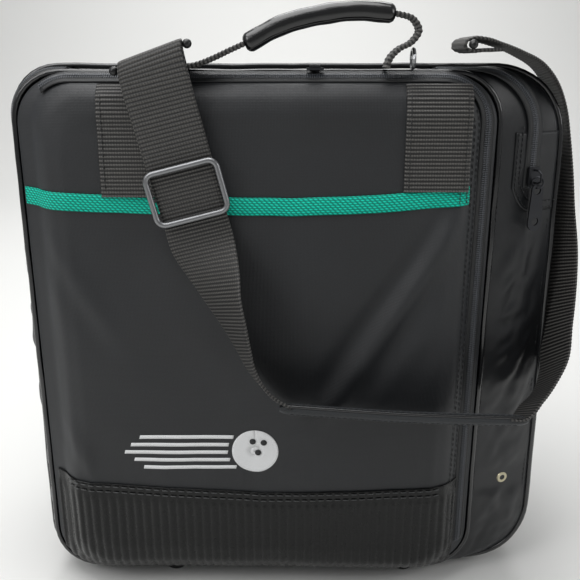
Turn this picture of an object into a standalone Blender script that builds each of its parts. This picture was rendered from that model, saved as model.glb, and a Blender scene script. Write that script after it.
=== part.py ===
"""Rolling bowling bag: a soft two-ball bag with a padded front, a zipped lid, a carrying handle,
a clip-on shoulder strap, two front feet, two rear wheels and a telescopic pull handle.

Metres, +Z up. The front faces -Y and +X is the right-hand side seen from the front. While it is
modelled, X = 0 is the middle of the front, Y = 0 the plane of the front piping and Z = 0 the
floor. The last lines move the whole so that the origin is the middle of its footprint.
"""

import math

import bmesh
import bpy
from mathutils import Vector

# Overall sizes
FRONT_WIDTH = 0.382  # across the front piping
TOP_HEIGHT = 0.458  # floor to the top of the front piping
BODY_DEPTH = 0.238  # front piping to rear piping, so that the mouth passes a 216 mm ball
FOOT_HEIGHT = 0.011
FRONT_BULGE = 0.0265  # how far the padded front stands out from the front piping
REAR_BULGE = 0.011
SPLAY_RIGHT = 0.056  # how far the body stands out past the front, on the right
SPLAY_LEFT = 0.006
REAR_TAPER = 0.010  # how much narrower the rear is than the widest line, on each side
FRONT_CORNER = 0.038
BODY_CORNER = 0.055
REAR_CORNER = 0.045
LEFT_CORNER = 0.034  # middle and rear corners on the left, where the body stands out little
LID_SAG = 0.014

# Materials' thicknesses
SHELL = 0.003  # nylon with its foam and lining
SKIN = 0.002  # front and rear covers
FOAM = 0.0045
BOARD = 0.002
BASE_BOARD = 0.003
WEB = 0.0018  # strap webbing
WEB_WIDTH = 0.050
TAPE_HEIGHT = 0.014
PVC = 0.0012
PIPING_RADIUS = 0.00225

# Zips
CHAIN_WIDTH = 0.008
CHAIN_THICK = 0.0016
ZIP_END_HEIGHT = 0.374  # where the main zip stops on each side
MOUTH_RIGHT = 0.140
MOUTH_LEFT = -0.150
MOUTH_FRONT = 0.0105
MOUTH_REAR = BODY_DEPTH - 0.009

# Handles and hardware
LEG_LEFT = -0.0945
LEG_RIGHT = 0.1385
TAPE_TOP = 0.374
KICK_HEIGHT = 0.109
GRIP_RADIUS = 0.0072
BASE_HALF = 0.150  # half the width of the base panel
FOOT_LEFT = -0.084
FOOT_RIGHT = 0.134
FOOT_RADIUS = 0.0115
FOOT_BACK = 0.0145  # foot centres behind the front piping
SCREW_RADIUS = 0.002
WHEEL_RADIUS = 0.022
WHEEL_WIDTH = 0.020
WHEEL_SPREAD = 0.150  # wheel centres from the middle
AXLE_RADIUS = 0.003
TUBE_SPREAD = 0.085  # pull-handle tubes from the middle
TUBE_SIDE = 0.016
TUBE_WALL = 0.0012
EYELET_HEIGHT = 0.098
EYELET_RADIUS = 0.0055

# Clearances
GAP = 0.0003  # between pieces that touch
RUN = 0.0006  # between pieces that slide or turn

ARC_STEPS = 6
BASE_Z = FOOT_HEIGHT
HALF = FRONT_WIDTH / 2
SEAM = PIPING_RADIUS + GAP + 0.00005  # a panel's edge stops this far short of a piping's centre


# Shared modelling tools

for old in list(bpy.data.objects):
    bpy.data.objects.remove(old)
frame = bpy.data.objects.new("bag_frame", None)
bpy.context.scene.collection.objects.link(frame)


def material(name, colour, roughness, metallic=0.0):
    made = bpy.data.materials.new(name)
    made.use_nodes = True
    shader = made.node_tree.nodes["Principled BSDF"]
    shader.inputs["Base Color"].default_value = (*colour, 1)
    shader.inputs["Roughness"].default_value = roughness
    shader.inputs["Metallic"].default_value = metallic
    return made


def add(name, mesh, colour, roughness=0.6, metallic=0.0, pivot=(0, 0, 0), hidden=False):
    """Makes one piece from a bmesh in bag coordinates, with its origin at pivot."""
    bmesh.ops.recalc_face_normals(mesh, faces=mesh.faces)
    bmesh.ops.translate(mesh, vec=-Vector(pivot), verts=mesh.verts)
    data = bpy.data.meshes.new(name)
    mesh.to_mesh(data)
    mesh.free()
    data.shade_smooth()
    data.set_sharp_from_angle(angle=math.radians(35))
    data.materials.append(material(name, colour, roughness, metallic))
    piece = bpy.data.objects.new(name, data)
    piece.location = pivot
    piece.parent = frame
    bpy.context.scene.collection.objects.link(piece)
    if hidden:
        piece.hide_render = True
        piece.display_type = "WIRE"
    return piece


def boolean(piece, cutter, operation="DIFFERENCE", solver="EXACT"):
    modifier = piece.modifiers.new(cutter.name, "BOOLEAN")
    modifier.operation = operation
    modifier.solver = solver
    modifier.object = cutter


def loft(rings, closed=False):
    """A solid through like rings of points, with flat ends, or joined end to end if closed."""
    mesh = bmesh.new()
    rows = [[mesh.verts.new(p) for p in ring] for ring in rings]
    count = len(rows[0])
    pairs = list(zip(rows, rows[1:])) + ([(rows[-1], rows[0])] if closed else [])
    for a, b in pairs:
        for i in range(count):
            j = (i + 1) % count
            mesh.faces.new((a[i], a[j], b[j], b[i]))
    if not closed:
        mesh.faces.new(rows[0])
        mesh.faces.new(rows[-1])
    return mesh


def pan(outer, inner):
    """A shallow open tray: rings from the rim to the flat, outside and inside."""
    mesh = bmesh.new()
    outside = [[mesh.verts.new(p) for p in ring] for ring in outer]
    inside = [[mesh.verts.new(p) for p in ring] for ring in inner]
    count = len(outside[0])
    for a, b in [*zip(outside, outside[1:]), *zip(inside, inside[1:]), (outside[0], inside[0])]:
        for i in range(count):
            j = (i + 1) % count
            mesh.faces.new((a[i], a[j], b[j], b[i]))
    mesh.faces.new(outside[-1])
    mesh.faces.new(inside[-1])
    return mesh


def box(low, high):
    x0, y0, z0 = low
    x1, y1, z1 = high
    ring = [(x0, y0), (x1, y0), (x1, y1), (x0, y1)]
    return loft([[Vector((x, y, z)) for x, y in ring] for z in (z0, z1)])


def turned(profile, centre, axis, steps=24):
    """A solid of revolution: profile is a closed loop of (radius, height), all radii above 0, or
    an open one that starts and ends on the axis, which the ends then close."""
    axis = Vector(axis).normalized()
    side = axis.orthogonal().normalized()
    other = axis.cross(side)
    ringed = profile[0][0] > 0
    mesh = bmesh.new()
    rows = []
    for radius, height in profile:
        foot = Vector(centre) + axis * height
        if radius == 0:
            rows.append([mesh.verts.new(foot)])
            continue
        turns = [math.tau * i / steps for i in range(steps)]
        spokes = [side * math.cos(t) + other * math.sin(t) for t in turns]
        rows.append([mesh.verts.new(foot + spoke * radius) for spoke in spokes])
    pairs = list(zip(rows, rows[1:])) + ([(rows[-1], rows[0])] if ringed else [])
    for a, b in pairs:
        for i in range(steps):
            j = (i + 1) % steps
            around = [a[i % len(a)], a[j % len(a)], b[j % len(b)], b[i % len(b)]]
            mesh.faces.new(list(dict.fromkeys(around)))
    return mesh


def tube(points, radius, sides=8, closed=False):
    """A round bar along points."""
    points = [Vector(p) for p in points]
    count = len(points)
    up = None
    rings = []
    for i, p in enumerate(points):
        before = points[(i - 1) % count] if closed or i else p
        after = points[(i + 1) % count] if closed or i < count - 1 else p
        along = (after - before).normalized()
        up = along.orthogonal() if up is None else up - along * up.dot(along)
        up.normalize()
        side = along.cross(up)
        turns = [math.tau * k / sides for k in range(sides)]
        rings.append([p + (up * math.cos(t) + side * math.sin(t)) * radius for t in turns])
    return loft(rings, closed)


def ribbon(stations, thickness=WEB):
    """Flat webbing through stations of (centre, half-width vector)."""
    rings = []
    for i, (centre, half) in enumerate(stations):
        centre, half = Vector(centre), Vector(half)
        before = Vector(stations[max(i - 1, 0)][0])
        after = Vector(stations[min(i + 1, len(stations) - 1)][0])
        normal = half.cross(after - before).normalized() * thickness / 2
        lower, upper = centre - normal, centre + normal
        rings.append([lower - half, lower + half, upper + half, upper - half])
    return loft(rings)


def arc(centre, radius, start, end, steps=ARC_STEPS):
    """Points (x, z) on an arc, angles in degrees from +X towards +Z."""
    turns = [math.radians(start + (end - start) * i / steps) for i in range(steps + 1)]
    return [(centre[0] + radius * math.cos(t), centre[1] + radius * math.sin(t)) for t in turns]


def rounded(left, right, bottom, top, radius, left_radius=None):
    """A rounded rectangle's outline, anticlockwise seen from the front."""
    r = radius
    q = radius if left_radius is None else left_radius
    return [
        *arc((right - r, bottom + r), r, -90, 0),
        *arc((right - r, top - r), r, 0, 90),
        *arc((left + q, top - q), q, 90, 180),
        *arc((left + q, bottom + q), q, 180, 270),
    ]


def at_depth(outline, y):
    return [Vector((x, y, z)) for x, z in outline]


# Shape of the body: outlines at the front piping, the widest line (middle piping) and the rear

RIGHT = HALF + SPLAY_RIGHT
LEFT = -HALF - SPLAY_LEFT
MIDDLE_TOP = TOP_HEIGHT + 0.002
REAR_TOP = TOP_HEIGHT - 0.008


def middle_y(z):
    """The middle piping leans back: it is further from the front at the top."""
    return 0.016 + 0.014 * (z - BASE_Z) / (TOP_HEIGHT - BASE_Z)


def front_outline(inset=0.0):
    return rounded(-HALF + inset, HALF - inset, BASE_Z + inset, TOP_HEIGHT - inset, FRONT_CORNER - inset)


def rear_outline(inset=0.0):
    return rounded(
        LEFT + REAR_TAPER + inset,
        RIGHT - REAR_TAPER - inset,
        BASE_Z + inset,
        REAR_TOP - inset,
        REAR_CORNER - inset,
        LEFT_CORNER - inset,
    )


# Front: a padded skin over foam and a board, with a flat pocket between them

SLATE = (0.012, 0.012, 0.013)
# Insets from the front piping's outline at the sides, top and bottom, depth in front of it, corner radius
FRONT_LEVELS = [
    (0.003, 0.002, 0.002, SEAM, 0.038),
    (0.009, 0.003, 0.003, 0.006, 0.036),
    (0.016, 0.005, 0.006, 0.010, 0.034),
    (0.022, 0.009, 0.012, 0.017, 0.032),
    (0.030, 0.017, 0.022, FRONT_BULGE - 0.003, 0.028),
    (0.042, 0.030, 0.038, FRONT_BULGE, 0.022),
]


def front_ring(level, out=0.0):
    """The front skin's outline at a level, moved outwards by a thickness."""
    side, top, bottom, depth, radius = level
    flat = depth / FRONT_BULGE
    out_side = out * (1 - 0.45 * flat)
    ring = rounded(
        -HALF + side - out_side,
        HALF - side + out_side,
        BASE_Z + bottom - out_side,
        TOP_HEIGHT - top + out_side,
        radius,
    )
    return at_depth(ring, -depth - (out * flat if depth > SEAM else 0))


front_panel = add(
    "front_panel",
    pan([front_ring(v) for v in FRONT_LEVELS], [front_ring(v, -SKIN) for v in FRONT_LEVELS]),
    SLATE,
    0.55,
)

FOAM_FRONT = -FRONT_BULGE + SKIN + GAP
FOAM_BACK = FOAM_FRONT + FOAM


def inner_slab(y0, y1):
    side, top, bottom = (FRONT_LEVELS[-1][i] + 0.003 for i in range(3))
    outline = rounded(-HALF + side, HALF - side, BASE_Z + bottom, TOP_HEIGHT - top, 0.020)
    return loft([at_depth(outline, y0), at_depth(outline, y1)])


add("front_foam", inner_slab(FOAM_FRONT, FOAM_BACK), (0.30, 0.30, 0.29), 0.9)
POCKET_BACK = FOAM_BACK + GAP + BOARD
add("pocket_back", inner_slab(FOAM_BACK + GAP, POCKET_BACK), (0.02, 0.02, 0.02), 0.7)


def front_surface(out, edge, inset):
    """Points (across, y) from an edge of the front to its flat, the given distance proud of it.
    edge is where the piping's outline lies, inset its column in FRONT_LEVELS: 0 side, 1 top."""
    points = []
    for level in FRONT_LEVELS:
        flat = level[3] / FRONT_BULGE
        points.append((edge - level[inset] + out * (1 - 0.45 * flat), -level[3] - out * flat))
    return points


# Woven tape across the front, bent round both edges
TAPE_THICK = 0.0010


def tape_row(out):
    right = front_surface(out, HALF, 0)[3:]
    left = [(-x, y) for x, y in front_surface(out, HALF, 0)[2:]]
    return left + right[::-1]


def tape_stations(z0, z1, out, thick):
    lower, upper = tape_row(out), tape_row(out + thick)
    return [
        [Vector((*a, z0)), Vector((*a, z1)), Vector((*b, z1)), Vector((*b, z0))]
        for a, b in zip(lower, upper)
    ]


tape_rings = tape_stations(TAPE_TOP - TAPE_HEIGHT, TAPE_TOP, GAP, TAPE_THICK)
add("woven_tape", loft(tape_rings), (0.0, 0.36, 0.25), 0.7)

# Ribbed PVC kick panel: a second skin over the lower front, cut level along its top seam
kick_panel = add(
    "kick_panel",
    pan(
        [front_ring(v, GAP + PVC) for v in FRONT_LEVELS[1:]],
        [front_ring(v, GAP) for v in FRONT_LEVELS[1:]],
    ),
    (0.01, 0.01, 0.011),
    0.25,
)
kick_cutter = add(
    "kick_cutter",
    box((-FRONT_WIDTH, -0.1, KICK_HEIGHT), (FRONT_WIDTH, 0.1, TOP_HEIGHT + 0.1)),
    SLATE,
    hidden=True,
)
boolean(kick_panel, kick_cutter)

# Printed motif on the front: a ball with three finger holes and plain trailing lines
MOTIF = (-0.004, 0.145)
MOTIF_RADIUS = 0.020
PRINT_BACK = -FRONT_BULGE - GAP
PRINT_THICK = 0.0004
motif = add(
    "printed_motif",
    turned(
        [(0, 0), (MOTIF_RADIUS, 0), (MOTIF_RADIUS, PRINT_THICK), (0, PRINT_THICK)],
        (MOTIF[0], PRINT_BACK, MOTIF[1]),
        (0, -1, 0),
        32,
    ),
    (0.85, 0.85, 0.85),
    0.6,
)
for row in range(3):
    z = MOTIF[1] + (row - 1) * 0.011
    line = add(
        f"motif_line_{row}",
        box(
            (-0.110 + 0.018 * abs(row - 1), PRINT_BACK - PRINT_THICK, z - 0.0022),
            (MOTIF[0] - 0.012, PRINT_BACK, z + 0.0022),
        ),
        SLATE,
        hidden=True,
    )
    boolean(motif, line, "UNION")
for hole, (dx, dz) in enumerate(((-0.001, 0.009), (0.008, 0.007), (0.003, -0.003))):
    finger = add(
        f"motif_hole_{hole}",
        turned(
            [(0, -0.002), (0.0028, -0.002), (0.0028, 0.002), (0, 0.002)],
            (MOTIF[0] + dx, PRINT_BACK, MOTIF[1] + dz),
            (0, -1, 0),
            12,
        ),
        SLATE,
        hidden=True,
    )
    boolean(motif, finger)

# Handle legs: webbing sewn to the front from the tape up to the pocket zip, bent over the top edge
LEG_OUT = GAP + WEB / 2


def leg(name, middle):
    rolled = front_surface(LEG_OUT, TOP_HEIGHT, 1)[::-1]
    path = [(-FRONT_BULGE - LEG_OUT, TAPE_TOP + GAP), *[(y, z) for z, y in rolled[:3]]]
    half = Vector((WEB_WIDTH / 2, 0, 0))
    add(name, ribbon([((middle, y, z), half) for y, z in path]), (0.02, 0.02, 0.02), 0.7)


leg("handle_leg_left", LEG_LEFT)
leg("handle_leg_right", LEG_RIGHT)

# Piping: three moulded beads that cover the seams. The middle one stops at the base, under which
# the feet stand
PIPING_OUT = PIPING_RADIUS + GAP


def piping(name, outline, depth, closed=True):
    points = [Vector((x, depth(z), z)) for x, z in outline]
    add(name, tube(points, PIPING_RADIUS, 6, closed), (0.03, 0.03, 0.035), 0.2)


piping("front_piping", front_outline(-0.0002), lambda z: 0.0)
middle_outline = rounded(
    LEFT - PIPING_OUT,
    RIGHT + PIPING_OUT,
    BASE_Z - PIPING_OUT,
    MIDDLE_TOP + PIPING_OUT,
    BODY_CORNER + PIPING_OUT,
    LEFT_CORNER + PIPING_OUT,
)
piping("middle_piping", middle_outline, middle_y, closed=False)
piping("rear_piping", rear_outline(-0.0002), lambda z: BODY_DEPTH)


# Side panels: from the base round both corners to the mouth, widest at the middle piping


def side_path(sign, inset, level):
    """(x, z) from the base to the mouth along one side at a level of the body."""
    extent, top, radius = level
    x1, r = extent - inset, radius - inset
    low, high = BASE_Z + inset, top - inset
    mouth = (MOUTH_RIGHT if sign > 0 else -MOUTH_LEFT) + GAP
    path = [
        (BASE_HALF + GAP, low),
        *arc((x1 - r, low + r), r, -90, 0),
        *arc((x1 - r, high - r), r, 0, 90),
        (mouth, high),
    ]
    return [(sign * x, z) for x, z in path]


STRIP_SHARE = 0.55  # the strip's ridge, where the zip and the eyelet sit, as a share of its width
STRIP_Y = 0.011


def body_levels(sign):
    """(extent, top, corner radius) and depth from the front piping back, on one side."""
    wide = RIGHT if sign > 0 else -LEFT
    middle_corner = BODY_CORNER if sign > 0 else LEFT_CORNER
    rear_corner = REAR_CORNER if sign > 0 else LEFT_CORNER
    near = HALF + STRIP_SHARE * (wide - HALF)
    halfway = (wide - REAR_TAPER / 2, (MIDDLE_TOP + REAR_TOP) / 2, (middle_corner + rear_corner) / 2)
    return [
        ((HALF, TOP_HEIGHT, FRONT_CORNER), lambda z: SEAM),
        ((near, TOP_HEIGHT + 0.001, (FRONT_CORNER + middle_corner) / 2), lambda z: STRIP_Y),
        ((wide, MIDDLE_TOP, middle_corner), middle_y),
        (halfway, lambda z: BODY_DEPTH / 2),
        ((wide - REAR_TAPER, REAR_TOP, rear_corner), lambda z: BODY_DEPTH - SEAM),
    ]


def side_panel(name, sign):
    levels = body_levels(sign)
    outside = [(side_path(sign, 0, level), depth) for level, depth in levels]
    inside = [(side_path(sign, SHELL, level), depth) for level, depth in levels]
    rings = []
    for i in range(len(outside[0][0])):
        outer = [Vector((path[i][0], depth(path[i][1]), path[i][1])) for path, depth in outside]
        inner = [Vector((path[i][0], depth(path[i][1]), path[i][1])) for path, depth in inside]
        rings.append(outer + inner[::-1])
    return add(name, loft(rings), (0.014, 0.014, 0.016), 0.35)


side_right = side_panel("side_right", 1)
side_left = side_panel("side_left", -1)
base_panel = add(
    "base_panel",
    box((-BASE_HALF, SEAM, BASE_Z), (BASE_HALF, BODY_DEPTH - SEAM, BASE_Z + SHELL)),
    SLATE,
    0.5,
)
base_board = add(
    "base_board",
    box(
        (-BASE_HALF + 0.002, 0.006, BASE_Z + SHELL + GAP),
        (BASE_HALF - 0.002, BODY_DEPTH - 0.010, BASE_Z + SHELL + GAP + BASE_BOARD),
    ),
    (0.03, 0.03, 0.03),
    0.6,
)

# Rear: a flat skin in its own piping over a stiffening board
REAR_LEVELS = [(0.002, SEAM), (0.006, 0.008), (0.018, REAR_BULGE)]
add(
    "rear_panel",
    pan(
        [at_depth(rear_outline(inset), BODY_DEPTH + y) for inset, y in REAR_LEVELS],
        [at_depth(rear_outline(inset + SKIN), BODY_DEPTH + max(y - SKIN, SEAM)) for inset, y in REAR_LEVELS],
    ),
    SLATE,
    0.5,
)
REAR_BOARD_BACK = BODY_DEPTH + REAR_BULGE - SKIN - GAP
rear_board_outline = rounded(
    LEFT + REAR_TAPER + 0.022, RIGHT - REAR_TAPER - 0.022, BASE_Z + 0.022, REAR_TOP - 0.022, 0.020
)
add(
    "rear_board",
    loft([at_depth(rear_board_outline, REAR_BOARD_BACK - back) for back in (0.004, 0)]),
    (0.03, 0.03, 0.03),
    0.7,
)

# Mouth: a zipped lid that hinges along its rear edge, between a front and a rear hem


def top_row(y, u, drop=0.0):
    """A point of the top at depth y; u runs -1..1 across the mouth, sagging in the middle."""
    middle = middle_y(MIDDLE_TOP)
    if y < middle:
        z = TOP_HEIGHT + (MIDDLE_TOP - TOP_HEIGHT) * y / middle
    else:
        z = MIDDLE_TOP + (REAR_TOP - MIDDLE_TOP) * (y - middle) / (BODY_DEPTH - middle)
    ease = math.sin(math.pi * min(max((y - MOUTH_FRONT) / (MOUTH_REAR - MOUTH_FRONT), 0), 1)) ** 0.5
    x = (MOUTH_RIGHT + MOUTH_LEFT) / 2 + u * (MOUTH_RIGHT - MOUTH_LEFT) / 2
    return Vector((x, y, z - drop - LID_SAG * ease * (1 - u * u)))


def top_strip(depths, thick, end):
    rings = []
    for i in range(9):
        u = end * (-1 + i / 4)
        upper = [top_row(y, u) for y in depths]
        lower = [top_row(y, u, thick) for y in depths]
        rings.append(upper + lower[::-1])
    return loft(rings)


MOUTH_WIDTH = MOUTH_RIGHT - MOUTH_LEFT
HEM_GAP = 1 - 2 * GAP / MOUTH_WIDTH
add("mouth_hem_front", top_strip([SEAM, MOUTH_FRONT - 0.0012], SHELL, HEM_GAP), SLATE, 0.4)
add("mouth_hem_rear", top_strip([MOUTH_REAR + 0.0015, BODY_DEPTH - SEAM], SHELL, HEM_GAP), SLATE, 0.4)
HINGE = (0, MOUTH_REAR + 0.0006, REAR_TOP + 0.0018)
lid_middle = [middle_y(MIDDLE_TOP), 0.065, 0.130, 0.195]
add(
    "lid_panel",
    top_strip([MOUTH_FRONT + CHAIN_WIDTH + 2 * GAP, *lid_middle, MOUTH_REAR - GAP], SHELL, HEM_GAP),
    SLATE,
    0.4,
    pivot=HINGE,
)
add(
    "lid_zip_chain",
    top_strip([MOUTH_FRONT, MOUTH_FRONT + CHAIN_WIDTH], CHAIN_THICK, HEM_GAP),
    (0.03, 0.03, 0.03),
    0.4,
    pivot=HINGE,
)


# Zip chains down each side from the mouth, on the strip in front of the middle piping


def side_chain(name, sign):
    levels = body_levels(sign)
    (front_level, front_depth), (near, near_depth), (wide, wide_depth) = levels[:3]
    first, second, third = (side_path(sign, 0, level) for level in (front_level, near, wide))
    rings = []
    for i in range(len(first)):
        a, b, c = (
            Vector((path[i][0], depth(path[i][1]), path[i][1]))
            for path, depth in ((first, front_depth), (second, near_depth), (third, wide_depth))
        )
        if b.z < TOP_HEIGHT - 0.060:
            continue
        along = (c - a).normalized()
        start = side_path(sign, 0, near)
        ahead = start[min(i + 1, len(start) - 1)]
        behind = start[i - 1]
        run = Vector((ahead[0] - behind[0], 0, ahead[1] - behind[1])).normalized()
        normal = along.cross(run).normalized()
        if normal.dot(Vector((b.x, -0.2, b.z - 0.25))) < 0:
            normal.negate()
        wide_half = along * CHAIN_WIDTH / 2
        lift, top = normal * (GAP + 0.0005), normal * (GAP + 0.0005 + CHAIN_THICK)
        rings.append([b - wide_half + lift, b + wide_half + lift, b + wide_half + top, b - wide_half + top])
    drop = Vector((0, 0, rings[0][0].z - ZIP_END_HEIGHT))
    rings.insert(0, [p - drop for p in rings[0]])
    add(name, loft(rings), (0.03, 0.03, 0.03), 0.4)


side_chain("main_zip_right", 1)
side_chain("main_zip_left", -1)

# Front pocket zip: along the right side and the top of the front, over the kick panel's edge
ZIP_OUT = 0.0026
ZIP_LEVELS = FRONT_LEVELS[1:3]
zip_corners = [
    front_ring(ZIP_LEVELS[0], ZIP_OUT),
    front_ring(ZIP_LEVELS[1], ZIP_OUT),
    front_ring(ZIP_LEVELS[1], ZIP_OUT + CHAIN_THICK),
    front_ring(ZIP_LEVELS[0], ZIP_OUT + CHAIN_THICK),
]
ZIP_FIRST = 4  # outline points, from low in the bottom right corner
ZIP_LAST = 2 * (ARC_STEPS + 1)  # to where the top meets the top left corner
add(
    "front_zip",
    loft([[ring[i] for ring in zip_corners] for i in range(ZIP_FIRST, ZIP_LAST + 1)]),
    (0.03, 0.03, 0.03),
    0.4,
)


def plate(centre, axes, sizes):
    """A box about centre, its sides along three unit vectors."""
    centre = Vector(centre)
    u, v, w = (Vector(axis) * size / 2 for axis, size in zip(axes, sizes))
    around = [u * i + v * j for i, j in ((-1, -1), (1, -1), (1, 1), (-1, 1))]
    return loft([[centre + w * k + side for side in around] for k in (-1, 1)])


NICKEL = (0.35, 0.35, 0.36)
GUNMETAL = (0.06, 0.06, 0.065)
POCKET_SLIDER_X = 0.045
zip_top = TOP_HEIGHT + ZIP_OUT + CHAIN_THICK - FRONT_LEVELS[1][1]
POCKET_SLIDER = Vector((POCKET_SLIDER_X, -0.008, zip_top + RUN + 0.0009))
AXES = (Vector((1, 0, 0)), Vector((0, 1, 0)), Vector((0, 0, 1)))
add(
    "pocket_slider",
    plate(POCKET_SLIDER, AXES, (0.013, 0.009, 0.0018)),
    GUNMETAL,
    0.35,
    0.8,
    pivot=POCKET_SLIDER,
)
POCKET_TAB_HINGE = POCKET_SLIDER + Vector((0, -0.002, 0.0009 + RUN + 0.0007))
add(
    "pocket_pull_tab",
    plate(POCKET_TAB_HINGE + Vector((0, 0.0075, 0)), AXES, (0.008, 0.017, 0.0014)),
    GUNMETAL,
    0.35,
    0.8,
    pivot=POCKET_TAB_HINGE,
)

# Main zip: slider with its bail, a split ring and a pull tab, on the right-hand strip
strip_x = HALF + STRIP_SHARE * SPLAY_RIGHT
strip_along = Vector((SPLAY_RIGHT, middle_y(ZIP_END_HEIGHT) - SEAM, 0)).normalized()
strip_out = Vector((strip_along.y, -strip_along.x, 0))
UP = Vector((0, 0, 1))
CHAIN_TOP = GAP + 0.0005 + CHAIN_THICK
SLIDER_THICK = 0.0022
SLIDER_AT = Vector((strip_x, STRIP_Y, ZIP_END_HEIGHT + 0.003))


def on_slider(along, up, out):
    return SLIDER_AT + strip_along * along + UP * up + strip_out * out


SLIDER_FACE = CHAIN_TOP + RUN + SLIDER_THICK
main_slider = add(
    "main_slider",
    plate(
        on_slider(0, 0, SLIDER_FACE - SLIDER_THICK / 2),
        (strip_along, UP, strip_out),
        (0.011, 0.015, SLIDER_THICK),
    ),
    GUNMETAL,
    0.3,
    0.9,
    pivot=SLIDER_AT,
)
BAIL_HEIGHT = 0.0080
BAIL_HALF = 0.0050
bail = add(
    "main_slider_bail",
    tube(
        [
            on_slider(0, BAIL_HALF, SLIDER_FACE - 0.0010),
            on_slider(0, BAIL_HALF, SLIDER_FACE + BAIL_HEIGHT * 0.6),
            on_slider(0, BAIL_HALF * 0.6, SLIDER_FACE + BAIL_HEIGHT),
            on_slider(0, -BAIL_HALF * 0.6, SLIDER_FACE + BAIL_HEIGHT),
            on_slider(0, -BAIL_HALF, SLIDER_FACE + BAIL_HEIGHT * 0.6),
            on_slider(0, -BAIL_HALF, SLIDER_FACE - 0.0010),
        ],
        0.0009,
        6,
    ),
    GUNMETAL,
    hidden=True,
)
boolean(main_slider, bail, "UNION")
RING_RADIUS = 0.0045
RING_WIRE = 0.00075
RING_OUT = SLIDER_FACE + 0.0049
RING_TURN = math.radians(60)
ring_across = strip_along * math.cos(RING_TURN) + strip_out * math.sin(RING_TURN)
RING_TOP = on_slider(0, 0.0002, RING_OUT)
ring_centre = RING_TOP - UP * RING_RADIUS


def circle(centre, across, up, radius, steps=20):
    turns = [math.tau * i / steps for i in range(steps)]
    return [centre + across * radius * math.cos(t) + up * radius * math.sin(t) for t in turns]


add(
    "main_slider_ring",
    tube(circle(ring_centre, ring_across, UP, RING_RADIUS), RING_WIRE, 6, closed=True),
    NICKEL,
    0.25,
    1.0,
    pivot=RING_TOP,
)
TAB_WIDTH = 0.014
TAB_LENGTH = 0.038
TAB_THICK = 0.0014
TAB_HOLE = 0.0034
TAB_SLACK = 0.0008  # room above the ring's wire in the tab's hole
TAB_HINGE = ring_centre - UP * RING_RADIUS
tab_top = TAB_HINGE + UP * (RING_WIRE + TAB_SLACK + 0.0011)


def tab_outline(offset):
    """Narrow at the ring, rounded at the free end."""
    low = tab_top.z - TAB_LENGTH + TAB_WIDTH / 2
    turns = [math.pi + math.pi * i / 10 for i in range(11)]
    end = [(TAB_WIDTH / 2 * math.cos(t), low + TAB_WIDTH / 2 * math.sin(t)) for t in turns]
    top = tab_top.z
    outline = [*end, (0.0055, top - 0.002), (0.0038, top), (-0.0038, top), (-0.0055, top - 0.002)]
    base = on_slider(0, 0, RING_OUT + offset)
    return [Vector((base.x, base.y, z)) + strip_along * x for x, z in outline]


pull_tab = add(
    "main_pull_tab",
    loft([tab_outline(-TAB_THICK / 2), tab_outline(TAB_THICK / 2)]),
    GUNMETAL,
    0.35,
    0.8,
    pivot=TAB_HINGE,
)
TAB_HOLES = (
    ("tab_ring_hole", TAB_HINGE.z - TAB_HOLE + RING_WIRE + TAB_SLACK, TAB_HOLE),
    ("tab_end_hole", tab_top.z - 0.030, 0.0035),
)
for name, height, radius in TAB_HOLES:
    at = on_slider(0, height - SLIDER_AT.z, RING_OUT)
    hole = add(
        name,
        turned([(0, -0.003), (radius, -0.003), (radius, 0.003), (0, 0.003)], at, strip_out, 14),
        SLATE,
        hidden=True,
    )
    boolean(pull_tab, hole)

# Eyelet: a metal drain ring set through the lower right strip
eyelet_out = Vector((0.33, -0.944, 0)).normalized()
eyelet_at = Vector((strip_x, STRIP_Y, EYELET_HEIGHT))
EYELET_BARREL = 0.0034
EYELET_BORE = 0.0026
EYELET_FLANGE = 0.0009
eyelet_hole = add(
    "eyelet_hole",
    turned(
        [(0, -0.012), (EYELET_BARREL + GAP, -0.012), (EYELET_BARREL + GAP, 0.008), (0, 0.008)],
        eyelet_at,
        eyelet_out,
        16,
    ),
    SLATE,
    hidden=True,
)
boolean(side_right, eyelet_hole, solver="MANIFOLD")
add(
    "eyelet",
    turned(
        [
            (EYELET_BORE, -SHELL - 0.0015),
            (EYELET_BARREL, -SHELL - 0.0015),
            (EYELET_BARREL, 0.0008),
            (EYELET_RADIUS, 0.0008),
            (EYELET_RADIUS - 0.0006, 0.0008 + EYELET_FLANGE),
            (EYELET_BORE, 0.0008 + EYELET_FLANGE),
        ],
        eyelet_at,
        eyelet_out,
    ),
    (0.75, 0.68, 0.5),
    0.25,
    1.0,
)

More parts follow.
